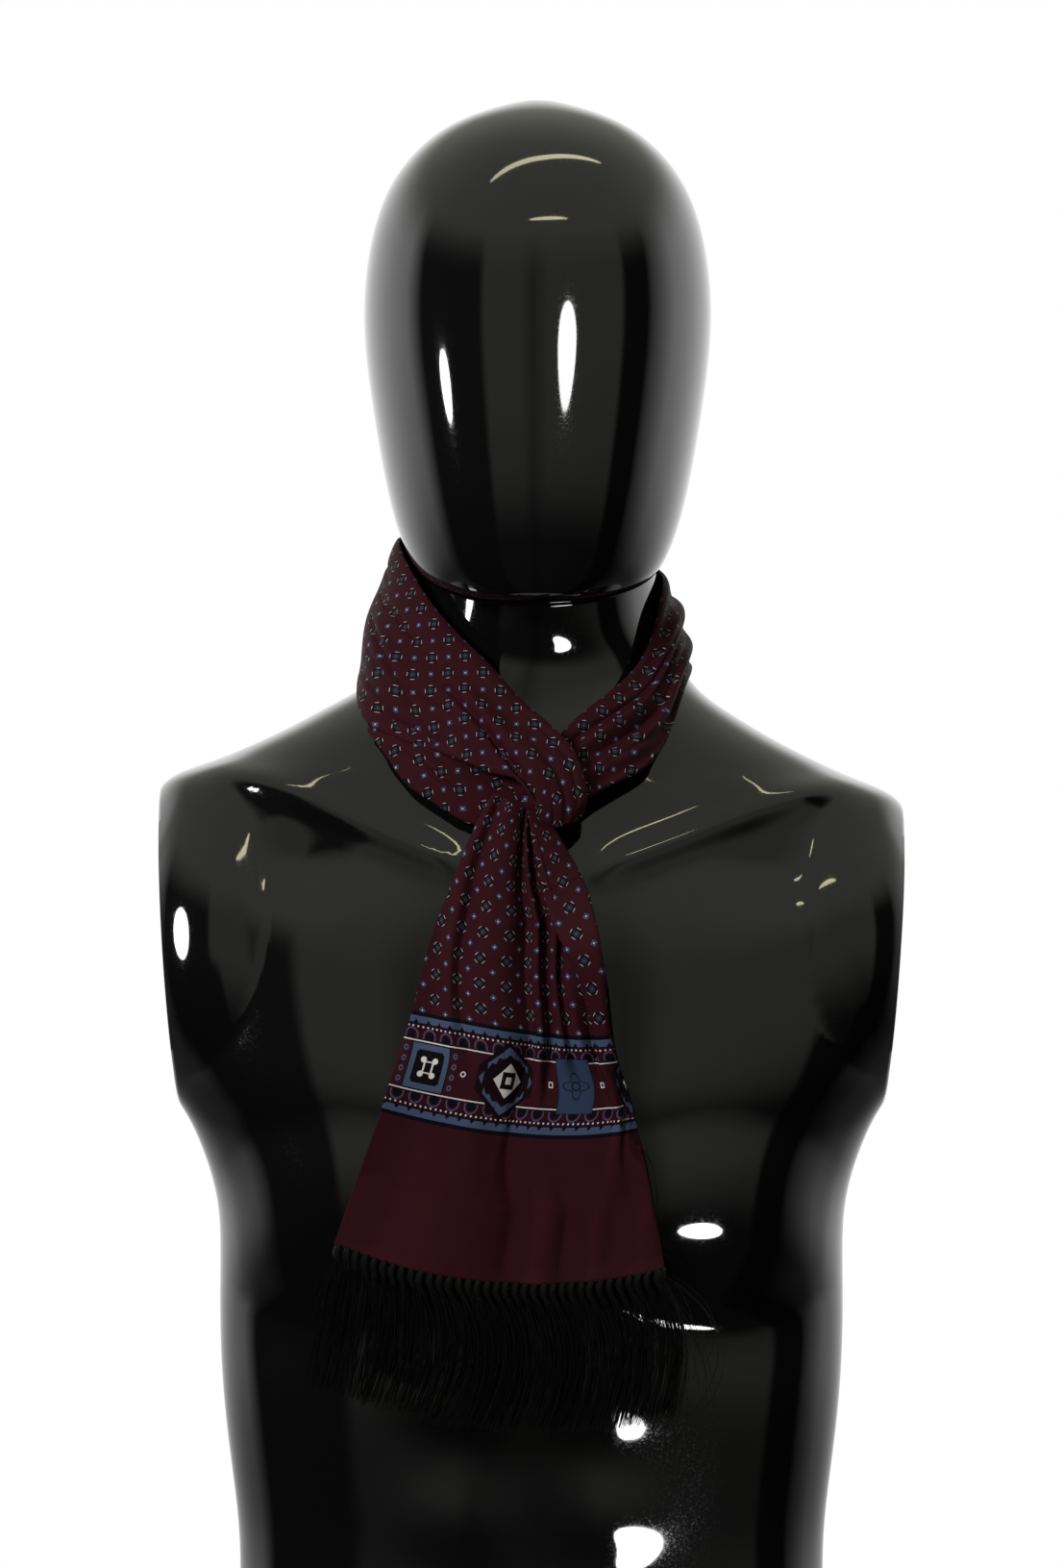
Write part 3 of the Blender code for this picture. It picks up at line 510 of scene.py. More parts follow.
def print_border(paint, u, v):
    """The border, the same above and below its middle: stripes and rows of small figures at its edges, and
    square, diamond and panel figures 39 mm apart between two white lines."""
    y = abs(v - BORDER_MIDDLE)
    inward = y * -1.0 + BORDER_HALF
    paint(inward > 0.0, NAVY)
    paint(inward.between(0.0019, 0.0052), SLATE)
    triangle = inward.between(0.0034, 0.0053) & ((u.nearest(0.006) - (inward - 0.0034) * 0.62) < 0.0)
    paint(triangle, NAVY)
    paint(inward > 0.0058, MAROON)
    paint(radius(u.nearest(0.0024), inward - 0.0069) < 0.00045, WHITE)
    arch = radius(u.nearest(0.0088, 0.0044), (inward - 0.0112) * 0.9)
    paint((arch < 0.0033) & (inward < 0.0122), LAVENDER)
    paint(arch < 0.0026, MAROON)
    paint(arch < 0.0019, NAVY)
    paint(inward > 0.0128, NAVY)
    paint(inward > 0.0130, WHITE)
    paint(inward > 0.01358, NAVY)
    paint(inward > 0.0139, BURGUNDY)

    x = abs(u - SQUARE_AT)  # the square with four knobs, and its columns of ovals
    paint((x < 0.0098) & (y < 0.0104), NAVY)
    paint((x < 0.0092) & (y < 0.0100), SLATE)
    notched = ((x < 0.0060) & (y < 0.0074)) | ((x < 0.0068) & (y < 0.0066))
    paint(notched, SQUARE_BLACK)
    knobs = radius(x - 0.0028, y - 0.0032) < 0.00135
    bars = (x.between(0.0016, 0.0024) & (y < 0.0032)) | (y.between(0.0022, 0.0027) & (x < 0.0024))
    paint(knobs | bars, WHITE)
    oval = radius((x - 0.0121) * 1.25, (y - 0.00235).nearest(0.0047))
    paint(oval.between(0.0006, 0.0014) & (y < 0.0098), SLATE)

    x = u.nearest(6 * REPEAT, DIAMOND_AT)  # the diamonds, which break the white lines
    paint((x / 0.0215 + y / 0.0180 < 1.0) & (x < 0.0152) & (inward > 0.0054), DIAMOND_BLACK)
    frame_at = x / 0.0199 + y / 0.0153
    paint(frame_at.between(0.77, 1.0) & (x < 0.0030), SLATE)
    toothed = (frame_at - x.nearest(0.0036) * 60.0) > 0.80
    paint(toothed & (frame_at < 0.985) & x.between(0.0032, 0.0108), SLATE)
    paint(x.between(0.0122, 0.0143) & (y < (x * -1.0 + 0.0143) * 1.4), SLATE)
    paint(x / 0.0074 + y / 0.0079 < 1.0, WHITE)
    paint((x < 0.0034) & (y < 0.0038), CENTRE_BLACK)
    paint((x < 0.0014) & (y < 0.0016), WHITE)

    x = abs(u - PANEL_AT)  # the blue panel with a plain rosette
    paint((x < 0.0088) & (y < 0.0131), NAVY)
    paint((x < 0.0085) & (y < 0.0128), PANEL_BLUE)
    r = radius(x, y)
    share = x * x / (r * r + 1e-9)
    petals = r - ((share * share * 8.0 - share * 8.0 + 1.0) * 0.0016 + 0.0046)
    paint(abs(petals) < 0.0003, NAVY)
    paint(abs(r - 0.0019) < 0.0003, NAVY)

    ring = radius(u - SMALL_RING_AT, y)  # small figures between them
    paint(ring < 0.0016, NAVY)
    paint(ring.between(0.0007, 0.0013), WHITE)
    x = abs(abs(u - PANEL_AT) - 0.0128)
    paint((x < 0.0011) & (y < 0.0014), WHITE)
    paint((x < 0.0006) & (y < 0.0009), NAVY)


def printed_silk(name, shift_u, shift_v, border=False):
    """Silk twill with its print: inks in flat colours, a fine diagonal rib, and a soft sheen."""
    material, tree = new_material(name, roughness=0.58, specular_ior_level=0.06)
    cloth = add_node(tree, "UVMap")
    cloth.uv_map = "cloth"
    split = add_node(tree, "SeparateXYZ", vector=cloth.outputs["UV"])
    u, v = Ink(tree, split.outputs["X"]), Ink(tree, split.outputs["Y"])
    printed = [BURGUNDY]

    def paint(mask, colour):
        """One ink over what is printed so far."""
        printed.append(mix_colours(tree, mask.socket, printed[-1], colour))

    print_lattice(paint, u, v, shift_u, shift_v)
    if border:
        paint(v < BORDER_MIDDLE, BURGUNDY)
        print_border(paint, u, v)
    shade = add_node(tree, "TexNoise", vector=cloth.outputs["UV"], scale=60.0)
    uneven = Ink(tree, shade.outputs["Fac"]) * 0.3 + 0.85
    tone = add_node(tree, "HueSaturation", value=uneven.socket, color=printed[-1])
    rib = ((u + v) * (2 * math.pi / RIB_PITCH)).apply("SINE")
    bump = add_node(tree, "Bump", strength=0.35, distance=RIB_DEPTH, height=rib.socket)
    shader = tree.nodes["Principled BSDF"]
    set_sockets(tree, shader, base_color=tone.outputs["Color"], normal=bump.outputs["Normal"])
    return material


def add_sheet(name, points, cloth, material, nodes):
    """A sheet of silk from a grid of points and the place of each on the flat cloth, with its thickness."""
    rows, columns = points.shape[:2]
    quads = grid_faces(rows, columns, False)
    piece = add_piece(name, points, quads.tolist(), material, nodes, 180)
    layer = piece.data.uv_layers.new(name="cloth")
    layer.data.foreach_set("uv", cloth.reshape(-1, 2)[quads.reshape(-1)].ravel())
    shell = piece.modifiers.new("silk", "SOLIDIFY")
    shell.thickness = SILK_THICK
    shell.offset = 0.0
    return piece


# ---------- bands round the neck
# The strip folded in half lengthwise and carried round the neck. The left band crosses over the right one
# and its tip turns under; the right one is drawn together into lengthwise gathers.
FOLD_RADIUS = 0.0014
NECK_CENTRE = (HEAD_X, 0.020, 0.0)
NAPE = 15.0  # the section at the middle of the back, where the two bands meet
LOOP_SECTIONS = (
    # upper edge x, y, z; lower edge x, y, z; arch, gather, waves, under
    (0.0248, -0.0976, 0.4936, 0.0160, -0.1006, 0.4888, 0.0012, 0.0000, 1.5, 0.004),
    (0.0255, -0.0998, 0.4978, 0.0138, -0.1040, 0.4880, 0.0018, 0.0003, 1.5, 0.005),
    (0.0256, -0.1010, 0.5055, 0.0096, -0.1060, 0.4896, 0.0025, 0.0008, 1.5, 0.008),
    (0.0206, -0.0985, 0.5219, 0.0046, -0.1070, 0.4955, 0.0030, 0.0012, 1.5, 0.011),
    (0.0114, -0.0930, 0.5333, -0.0005, -0.1060, 0.5042, 0.0030, 0.0012, 1.5, 0.012),
    (0.0032, -0.0870, 0.5408, -0.0075, -0.1030, 0.5125, 0.0030, 0.0012, 1.5, 0.012),
    (-0.0060, -0.0800, 0.5490, -0.0172, -0.0978, 0.5148, 0.0035, 0.0013, 1.5, 0.014),
    (-0.0190, -0.0720, 0.5635, -0.0320, -0.0903, 0.5205, 0.0040, 0.0014, 1.5, 0.022),
    (-0.0338, -0.0620, 0.5781, -0.0482, -0.0802, 0.5262, 0.0040, 0.0013, 1.5, 0.030),
    (-0.0489, -0.0490, 0.5953, -0.0675, -0.0685, 0.5325, 0.0040, 0.0012, 1.5, 0.035),
    (-0.0612, -0.0285, 0.6150, -0.0830, -0.0500, 0.5440, 0.0035, 0.0011, 1.5, 0.038),
    (-0.0667, -0.0040, 0.6275, -0.0850, -0.0150, 0.5620, 0.0030, 0.0010, 1.5, 0.042),
    (-0.0620, 0.0220, 0.6315, -0.0805, 0.0200, 0.5670, 0.0030, 0.0009, 1.5, 0.045),
    (-0.0480, 0.0460, 0.6350, -0.0640, 0.0580, 0.5690, 0.0030, 0.0008, 1.5, 0.045),
    (-0.0260, 0.0610, 0.6370, -0.0340, 0.0810, 0.5675, 0.0030, 0.0008, 1.6, 0.045),
    (0.0020, 0.0660, 0.6370, 0.0010, 0.0890, 0.5675, 0.0030, 0.0009, 1.8, 0.044),
    (0.0300, 0.0610, 0.6320, 0.0360, 0.0800, 0.5690, 0.0030, 0.0010, 2.0, 0.042),
    (0.0520, 0.0460, 0.6230, 0.0660, 0.0560, 0.5710, 0.0030, 0.0012, 2.2, 0.040),
    (0.0635, 0.0220, 0.6150, 0.0785, 0.0180, 0.5690, 0.0030, 0.0016, 2.4, 0.034),
    (0.0665, -0.0040, 0.6080, 0.0784, -0.0140, 0.5633, 0.0030, 0.0018, 2.5, 0.030),
    (0.0632, -0.0280, 0.5944, 0.0745, -0.0410, 0.5550, 0.0030, 0.0020, 2.5, 0.026),
    (0.0551, -0.0460, 0.5708, 0.0670, -0.0610, 0.5350, 0.0030, 0.0020, 2.5, 0.022),
    (0.0399, -0.0620, 0.5537, 0.0545, -0.0790, 0.5179, 0.0030, 0.0020, 2.5, 0.020),
    (0.0217, -0.0760, 0.5391, 0.0340, -0.0910, 0.5073, 0.0025, 0.0018, 2.5, 0.016),
    (0.0101, -0.0845, 0.5266, 0.0215, -0.0945, 0.4990, 0.0020, 0.0014, 2.5, 0.012),
    (-0.0023, -0.0880, 0.5151, 0.0095, -0.0945, 0.4950, 0.0015, 0.0008, 2.5, 0.007),
    (-0.0142, -0.0900, 0.5079, 0.0015, -0.0945, 0.4955, 0.0008, 0.0004, 2.5, 0.004),
)
FRONT_POINTS, TURN_POINTS, UNDER_POINTS = 110, 9, 22
LIP_WIDTH, LIP_RADIUS = 0.004, 0.0006  # the cloth's own edge, turned back along the upper fold
LIP_POINTS, LIP_TURN_POINTS = 4, 6
LINE_AT = 0.35  # share of the width where a band's length is measured
SMALL_STEP = 0.05  # sections, to both sides of a place, that give the band's direction there


def creased(place, across, creases):
    """Ridges (plus) and troughs (minus): along each crease from its first to its last place, a bell across
    the cloth about the crease's line, fading in and out with the square root of a half sine."""
    out = np.zeros_like(across)
    for from_place, from_across, to_place, to_across, height, width in creases:
        along = np.clip((place - from_place) / (to_place - from_place), 0.0, 1.0)
        middle = from_across + (to_across - from_across) * along
        out += height * np.sqrt(np.sin(math.pi * along)) * np.exp(-(((across - middle) / width) ** 2))
    return out


def band_surface(sections, first, last, rows, creases=()):
    """Points and cloth places of a band: across each section an arched front ply with gathers, a half turn at
    the lower edge and the ply behind it, and a small turn at the upper edge; carried along the sections."""
    at = np.linspace(first, last, rows)

    def read(places):
        return spline(np.arange(len(sections)), sections, places)

    here = read(at)
    upper, lower = here[:, :3], here[:, 3:6]
    chord = lower - upper
    length = np.linalg.norm(chord, axis=1)[:, None]
    chord = chord / length
    ahead = read(np.minimum(at + SMALL_STEP, len(sections) - 1.0)) - read(np.maximum(at - SMALL_STEP, 0.0))
    outward = np.cross(chord, ahead[:, :3] + ahead[:, 3:6])
    outward /= np.linalg.norm(outward, axis=1)[:, None]
    facing = np.sum(outward * ((upper + lower) / 2 - NECK_CENTRE) * (1, 1, 0), axis=1)
    outward *= np.sign(facing)[:, None]
    arch, gather, waves, under = here.T[6:, :, None]

    t = np.linspace(0.0, 1.0, FRONT_POINTS)[None]
    wave = np.sin(math.pi * t) ** 0.5 * np.cos(2 * math.pi * waves * t + 0.4)
    front = arch * 4 * t * (1 - t) + gather * wave + creased(at[:, None], t * length, creases)
    turn = np.linspace(0.0, math.pi, TURN_POINTS + 1)[1:]
    below = np.linspace(0.0, 1.0, UNDER_POINTS + 1)[None, 1:] * np.minimum(under, 0.94 * length) / length
    below_out = arch * 4 * below * (1 - below) - 2 * FOLD_RADIUS - gather * ease(below * 3)
    lip = np.linspace(math.pi, 0.0, LIP_TURN_POINTS + 1)[:-1]
    lip_across = np.concatenate([np.linspace(LIP_WIDTH, 0.0, LIP_POINTS + 1)[:-1], -LIP_RADIUS * np.sin(lip)])
    lip_out = np.concatenate([np.full(LIP_POINTS, -2 * LIP_RADIUS), -LIP_RADIUS * (1 - np.cos(lip))])
    across = [lip_across + 0 * length, t * length, length + FOLD_RADIUS * np.sin(turn), (1 - below) * length]
    out = [lip_out + front[:, :1], front, -FOLD_RADIUS * (1 - np.cos(turn)) + 0 * length, below_out]
    across, out = np.concatenate(across, axis=1), np.concatenate(out, axis=1)

    step = np.hypot(np.diff(across, axis=1), np.diff(out, axis=1))
    u = np.concatenate([0 * length, np.cumsum(step, axis=1)], axis=1)
    u -= u[:, LIP_POINTS + LIP_TURN_POINTS][:, None]
    line = upper + LINE_AT * (lower - upper)
    v = np.concatenate([[0.0], np.cumsum(np.linalg.norm(np.diff(line, axis=0), axis=1))])[:, None]
    along = np.gradient(line, axis=0)
    lean = np.sum(along * chord, axis=1)[:, None] / np.linalg.norm(along, axis=1)[:, None]
    points = upper[:, None] + across[..., None] * chord[:, None] + out[..., None] * outward[:, None]
    return points, np.stack([u * np.sqrt(1 - lean**2), v + (u - LINE_AT * length) * lean], axis=2)


LEFT_CREASES = (
    # from_place, from_across, to_place, to_across, height, width
    (8.3, 0.0200, 3.2, 0.0270, 0.0016, 0.0050),
    (8.0, 0.0262, 3.4, 0.0345, -0.0036, 0.0024),
    (7.6, 0.0330, 4.6, 0.0400, 0.0012, 0.0040),
    (10.7, 0.0262, 8.8, 0.0200, -0.0017, 0.0020),
    (10.5, 0.0370, 8.1, 0.0530, -0.0024, 0.0023),
    (10.4, 0.0330, 8.6, 0.0440, 0.0010, 0.0040),
    (10.2, 0.0500, 8.6, 0.0508, -0.0012, 0.0018),
    (9.1, 0.0450, 7.3, 0.0350, -0.0014, 0.0020),
    (10.1, 0.0720, 7.4, 0.0480, -0.0022, 0.0024),
    (10.9, 0.0640, 9.0, 0.0600, -0.0018, 0.0022),
    (11.8, 0.0120, 10.4, 0.0150, -0.0013, 0.0018),
    (5.8, 0.0045, 1.6, 0.0062, -0.0010, 0.0016),
    (4.7, 0.0165, 1.1, 0.0135, -0.0017, 0.0024),
    (3.4, 0.0240, 0.6, 0.0190, -0.0010, 0.0018),
    (14.7, 0.0200, 11.7, 0.0300, -0.0018, 0.0030),
    (14.9, 0.0450, 12.0, 0.0520, -0.0020, 0.0028),
    (13.6, 0.0600, 11.0, 0.0660, -0.0016, 0.0024),
)
RIGHT_CREASES = (  # columns as in LEFT_CREASES
    (19.2, 0.0190, 23.8, 0.0066, -0.0028, 0.0021),
    (19.4, 0.0150, 24.0, 0.0030, 0.0010, 0.0028),
    (18.8, 0.0330, 22.9, 0.0225, -0.0021, 0.0020),
    (19.2, 0.0270, 21.4, 0.0180, -0.0014, 0.0016),
    (20.4, 0.0385, 23.0, 0.0290, -0.0014, 0.0018),
    (18.4, 0.0420, 20.9, 0.0370, -0.0018, 0.0018),
    (15.2, 0.0300, 18.6, 0.0240, -0.0018, 0.0030),
    (15.6, 0.0500, 18.9, 0.0440, -0.0020, 0.0028),
    (16.4, 0.0140, 19.4, 0.0120, -0.0015, 0.0024),
)
band_silk = printed_silk("silk_left_band", 0.0054, 0.0)
points, cloth = band_surface(LOOP_SECTIONS, 0.0, NAPE, 260, LEFT_CREASES)
add_sheet("left_band", points, cloth, band_silk, ["neck_band_left"])
points, cloth = band_surface(LOOP_SECTIONS, NAPE, len(LOOP_SECTIONS) - 1.0, 220, RIGHT_CREASES)
add_sheet("right_band", points, cloth, band_silk, ["neck_back", "neck_band_right"])

# ---------- lower ply of the left band
# The left band's lower part, the same printed silk, which shows below the main ply and passes behind the
# front tail. The crossing holds it.
LOWER_PLY_SECTIONS = (  # columns as in LOOP_SECTIONS
    (-0.0745, -0.0540, 0.5450, -0.0790, -0.0590, 0.5350, 0.0000, 0.0000, 1.0, 0.003),
    (-0.0640, -0.0630, 0.5440, -0.0705, -0.0700, 0.5240, 0.0005, 0.0003, 1.3, 0.004),
    (-0.0550, -0.0700, 0.5400, -0.0620, -0.0785, 0.5120, 0.0010, 0.0004, 1.6, 0.004),
    (-0.0450, -0.0760, 0.5350, -0.0535, -0.0840, 0.5050, 0.0010, 0.0005, 1.6, 0.004),
    (-0.0350, -0.0810, 0.5290, -0.0420, -0.0865, 0.4975, 0.0010, 0.0005, 1.6, 0.004),
    (-0.0250, -0.0835, 0.5200, -0.0290, -0.0885, 0.4905, 0.0010, 0.0004, 1.6, 0.004),
    (-0.0120, -0.0840, 0.5110, -0.0115, -0.0890, 0.4875, 0.0010, 0.0004, 1.0, 0.004),
    (0.0020, -0.0835, 0.5040, 0.0060, -0.0890, 0.4865, 0.0010, 0.0000, 1.0, 0.003),
)
LOWER_CREASES = (  # columns as in LEFT_CREASES
    (0.6, 0.0120, 4.6, 0.0170, -0.0013, 0.0020),
    (1.6, 0.0190, 4.9, 0.0240, -0.0015, 0.0018),
    (2.2, 0.0140, 5.6, 0.0090, 0.0010, 0.0026),
)
points, cloth = band_surface(LOWER_PLY_SECTIONS, 0.0, 7.0, 110, LOWER_CREASES)
add_sheet("left_band_lower", points, cloth, band_silk, ["band_left_lower"])

# ---------- fringe
# Black silk yarn knotted through the hem: a row of short twisted roots, each of them opening into fine
# threads that overlap like a curtain, bow to the right and swing back. At the corners some hang loose.
FRINGE_LENGTH = 0.071
THREAD_LENGTH = FRINGE_LENGTH - 0.0065  # from where the threads leave their root
FRINGE_BLACK = (0.0052, 0.0052, 0.0052)
FRINGE_SEED = 7
ROOT_PITCH, ROOT_LENGTH, ROOT_RADIUS = 0.0046, 0.0085, 0.0023
ROOT_SIDES, ROOT_LEVELS, ROOT_TWIST = 7, 8, 2.6
ROOT_START = 0.0006  # above the hem
THREADS_PER_ROOT, LOOSE_THREADS = 24, 26
THREAD_RADIUS, THREAD_SIDES, THREAD_LEVELS = 0.00023, 3, 16
THREADS_LEAVE = 5  # the level of the root where its threads come out


def yarn_tubes(paths, radius, sides, twist=0.0):
    """Closed tubes round paths[tube, level]: at each level a level ring whose radius is that tube's at that
    level, turned by the twist. Returns the points and the faces."""
    tubes, levels = paths.shape[:2]
    angle = 2 * math.pi * np.arange(sides)[None] / sides + twist * np.linspace(0, 1, levels)[:, None]
    ring = np.stack([np.cos(angle), np.sin(angle), 0 * angle], axis=2)
    points = paths[:, :, None] + ring[None] * radius[..., None, None]
    first = (np.arange(tubes) * levels * sides)[:, None, None]
    walls = (first + grid_faces(levels, sides, True)[None]).reshape(-1, 4)
    top = np.arange(sides)[None] + first[:, 0]
    bottom = top + (levels - 1) * sides
    return points.reshape(-1, 3), walls[:, ::-1].tolist() + top.tolist() + bottom[:, ::-1].tolist()


def fringe_sway(s, d):
    """How far a thread at place s across the hem stands to the right of its root at depth d: a bow that grows
    from the left corner, and an end that flares out at both corners."""
    bow = -0.002 + 0.010 * ease(s / 0.35)
    end = -0.010 * (1 - s) ** 3 + 0.007 * s**4 - 0.002
    return bow * np.sin(math.pi * d**0.9) + end * d**1.6


def add_fringe(name, hem, roots, nodes):
    """Roots evenly along the hem line, threads from each of them, and loose threads at both corners."""
    chance = np.random.default_rng(FRINGE_SEED)
    run = np.concatenate([[0.0], np.cumsum(np.linalg.norm(np.diff(hem, axis=0), axis=1))])
    s = (np.arange(roots) + 0.5) / roots
    top = np.stack([np.interp(s * run[-1], run, hem[:, i]) for i in range(3)], axis=1)
    top += np.stack([0 * s, chance.normal(0, 0.0003, roots), ROOT_START + 0 * s], axis=1)
    d = np.linspace(0, 1, ROOT_LEVELS)[None]
    bend = chance.normal(0, 0.0005, (roots, 1)) * d - 0.0008 * np.sin(math.pi * d)
    path = top[:, None] + np.stack([bend, 0 * bend, -ROOT_LENGTH * d + 0 * bend], axis=2)
    swell = np.sin(math.pi * (0.12 + 0.80 * d)) ** 0.5 * (1 - 0.25 * d)
    tubes = [yarn_tubes(path, ROOT_RADIUS * swell + 0 * bend, ROOT_SIDES, ROOT_TWIST)]

    count = roots * THREADS_PER_ROOT
    root = np.repeat(np.arange(roots), THREADS_PER_ROOT)
    beside, behind = (chance.uniform(-0.0010, 0.0010, count) for _ in range(2))
    start = path[root, THREADS_LEAVE] + np.stack([beside, behind, 0 * root], axis=1)
    d = np.linspace(0, 1, THREAD_LEVELS)[None]
    place = s[root][:, None]
    across = place + chance.normal(0, 0.010, (count, 1))
    share = 1 - 0.06 * (1 - place) ** 2 + chance.normal(0, 0.018, (count, 1))
    spread = chance.uniform(-1, 1, (count, 1)) * 0.6 * ROOT_PITCH * np.minimum(1, d * 4)
    stray = chance.normal(0, 0.0013, (count, 1)) * d**1.5
    stray += chance.normal(0, 0.0006, (count, 1)) * np.sin(2 * math.pi * d)
    depth = chance.uniform(-0.0018, 0.0018, (count, 1)) * np.minimum(1, d * 3)
    depth += chance.normal(0, 0.0006, (count, 1)) * d
    fall = THREAD_LENGTH * share * d
    threads = start[:, None] + np.stack([fringe_sway(across, d) + spread + stray, depth, -fall], axis=2)
    thin = THREAD_RADIUS * np.where(d > 0.99, 0.4, 1.0) * chance.uniform(0.8, 1.2, (count, 1))
    tubes.append(yarn_tubes(threads, thin, THREAD_SIDES))

    one_each = (LOOSE_THREADS, 1)
    side = np.where(np.arange(LOOSE_THREADS) % 2 == 0, 1, -1)
    corner = top[np.where(side > 0, roots - 1, 0) - side * chance.integers(0, 3, LOOSE_THREADS)]
    side = side[:, None]
    reach = side * np.where(side > 0, 1.0, 0.45) * chance.uniform(0.010, 0.034, one_each)
    fall = chance.uniform(0.45, 1.0, one_each) * FRINGE_LENGTH * d
    curl = chance.uniform(0.8, 1.7, one_each)
    x = reach * np.sin(curl * math.pi / 2 * d**0.8) + chance.normal(0, 0.001, one_each) * np.sin(6 * d)
    depth = chance.uniform(-0.003, 0.002, one_each) * d
    wisps = corner[:, None] + np.stack([x, depth, -0.002 - fall], axis=2)
    tubes.append(yarn_tubes(wisps, THREAD_RADIUS * 0.8 + 0 * x, THREAD_SIDES))

    firsts = np.cumsum([0] + [len(lot) for lot, _ in tubes]).tolist()
    faces = [[first + corner for corner in face] for first, (_, lot) in zip(firsts, tubes) for face in lot]
    points = np.concatenate([lot for lot, _ in tubes])
    return add_piece(name, points, faces, fringe_yarn, nodes, 180)


fringe_yarn, _ = new_material("fringe_yarn", base_color=FRINGE_BLACK, roughness=0.5, specular_ior_level=0.16)

# ---------- hidden tail
# The strip's other end with its own fringe, folded in half lengthwise. It hangs from the crossing, hidden
# behind the front tail.
BACK_TAIL_SECTIONS = (  # columns as in LOOP_SECTIONS
    (-0.0150, -0.0880, 0.4830, 0.0060, -0.0880, 0.4820, 0.0000, 0.0004, 2.0, 0.018),
    (-0.0200, -0.0910, 0.4680, 0.0130, -0.0910, 0.4670, 0.0000, 0.0006, 2.0, 0.028),
    (-0.0280, -0.0992, 0.4360, 0.0220, -0.0992, 0.4350, 0.0000, 0.0006, 2.0, 0.044),
    (-0.0360, -0.1062, 0.4000, 0.0300, -0.1062, 0.3990, 0.0000, 0.0006, 2.0, 0.058),
    (-0.0410, -0.1090, 0.3650, 0.0340, -0.1090, 0.3640, 0.0000, 0.0006, 2.0, 0.066),
    (-0.0420, -0.1095, 0.3500, 0.0350, -0.1095, 0.3490, 0.0000, 0.0006, 2.0, 0.068),
)
points, cloth = band_surface(BACK_TAIL_SECTIONS, 0.0, 5.0, 90)
lip = LIP_POINTS + LIP_TURN_POINTS
back_fringe = add_fringe("back_fringe", points[-1, lip : lip + FRONT_POINTS], 15, ["back_fringe"])
add_sheet("back_tail", points, cloth, band_silk, ["back_tail"])

# ---------- front tail
# The open end of the strip: it comes out of the crossing in tight folds and fans out to the hem, its edges
# rolled behind higher up. The border is printed across it.
ROLL_LENGTH = 0.0075  # cloth taken by the half turn at its edges
ROLL_TURN = math.radians(168)
HIDDEN_PLY, HIDDEN_AT_KNOT = 0.011, 0.006  # how much of the cloth rolled behind an edge is built
FLAT_PANEL = (0.030, 0.052)  # the stretch of cloth whose mean lies on the row's line
MOST_GATHER = 1.1  # the folds' slopes are never scaled by more
SOFT_FLOOR = 0.0006  # how softly the folds stop at the row's depth
TAIL_ROWS = (
    # left x and z, right x and z, bow, lift, y, deep, roll_left, roll_right
    (-0.0175, 0.5035, 0.0060, 0.4945, 0.0015, 0.0000, -0.0998, 0.0085, 0.0210, 0.0400),
    (-0.0235, 0.4945, 0.0110, 0.4865, 0.0070, 0.0020, -0.1015, 0.0088, 0.0195, 0.0370),
    (-0.0334, 0.4725, 0.0215, 0.4685, 0.0105, 0.0030, -0.1062, 0.0094, 0.0185, 0.0350),
    (-0.0402, 0.4548, 0.0283, 0.4515, 0.0110, 0.0050, -0.1105, 0.0096, 0.0140, 0.0350),
    (-0.0497, 0.4280, 0.0337, 0.4235, 0.0107, 0.0070, -0.1152, 0.0084, 0.0080, 0.0380),
    (-0.0564, 0.4004, 0.0373, 0.3895, 0.0099, 0.0095, -0.1184, 0.0070, 0.0030, 0.0425),
    (-0.0640, 0.3768, 0.0440, 0.3665, 0.0109, 0.0085, -0.1197, 0.0064, -0.0015, 0.0385),
    (-0.0712, 0.3535, 0.0504, 0.3435, 0.0117, 0.0060, -0.1202, 0.0045, -0.0030, 0.0260),
    (-0.0824, 0.3220, 0.0571, 0.3110, 0.0129, 0.0040, -0.1200, 0.0052, -0.0040, 0.0110),
    (-0.0933, 0.2905, 0.0630, 0.2790, 0.0136, 0.0015, -0.1200, 0.0052, -0.0040, 0.0040),
)
FOLD_ROWS = (0.0, 3.0, 5.2, 6.1, 8.0)  # the tail rows whose folds are given
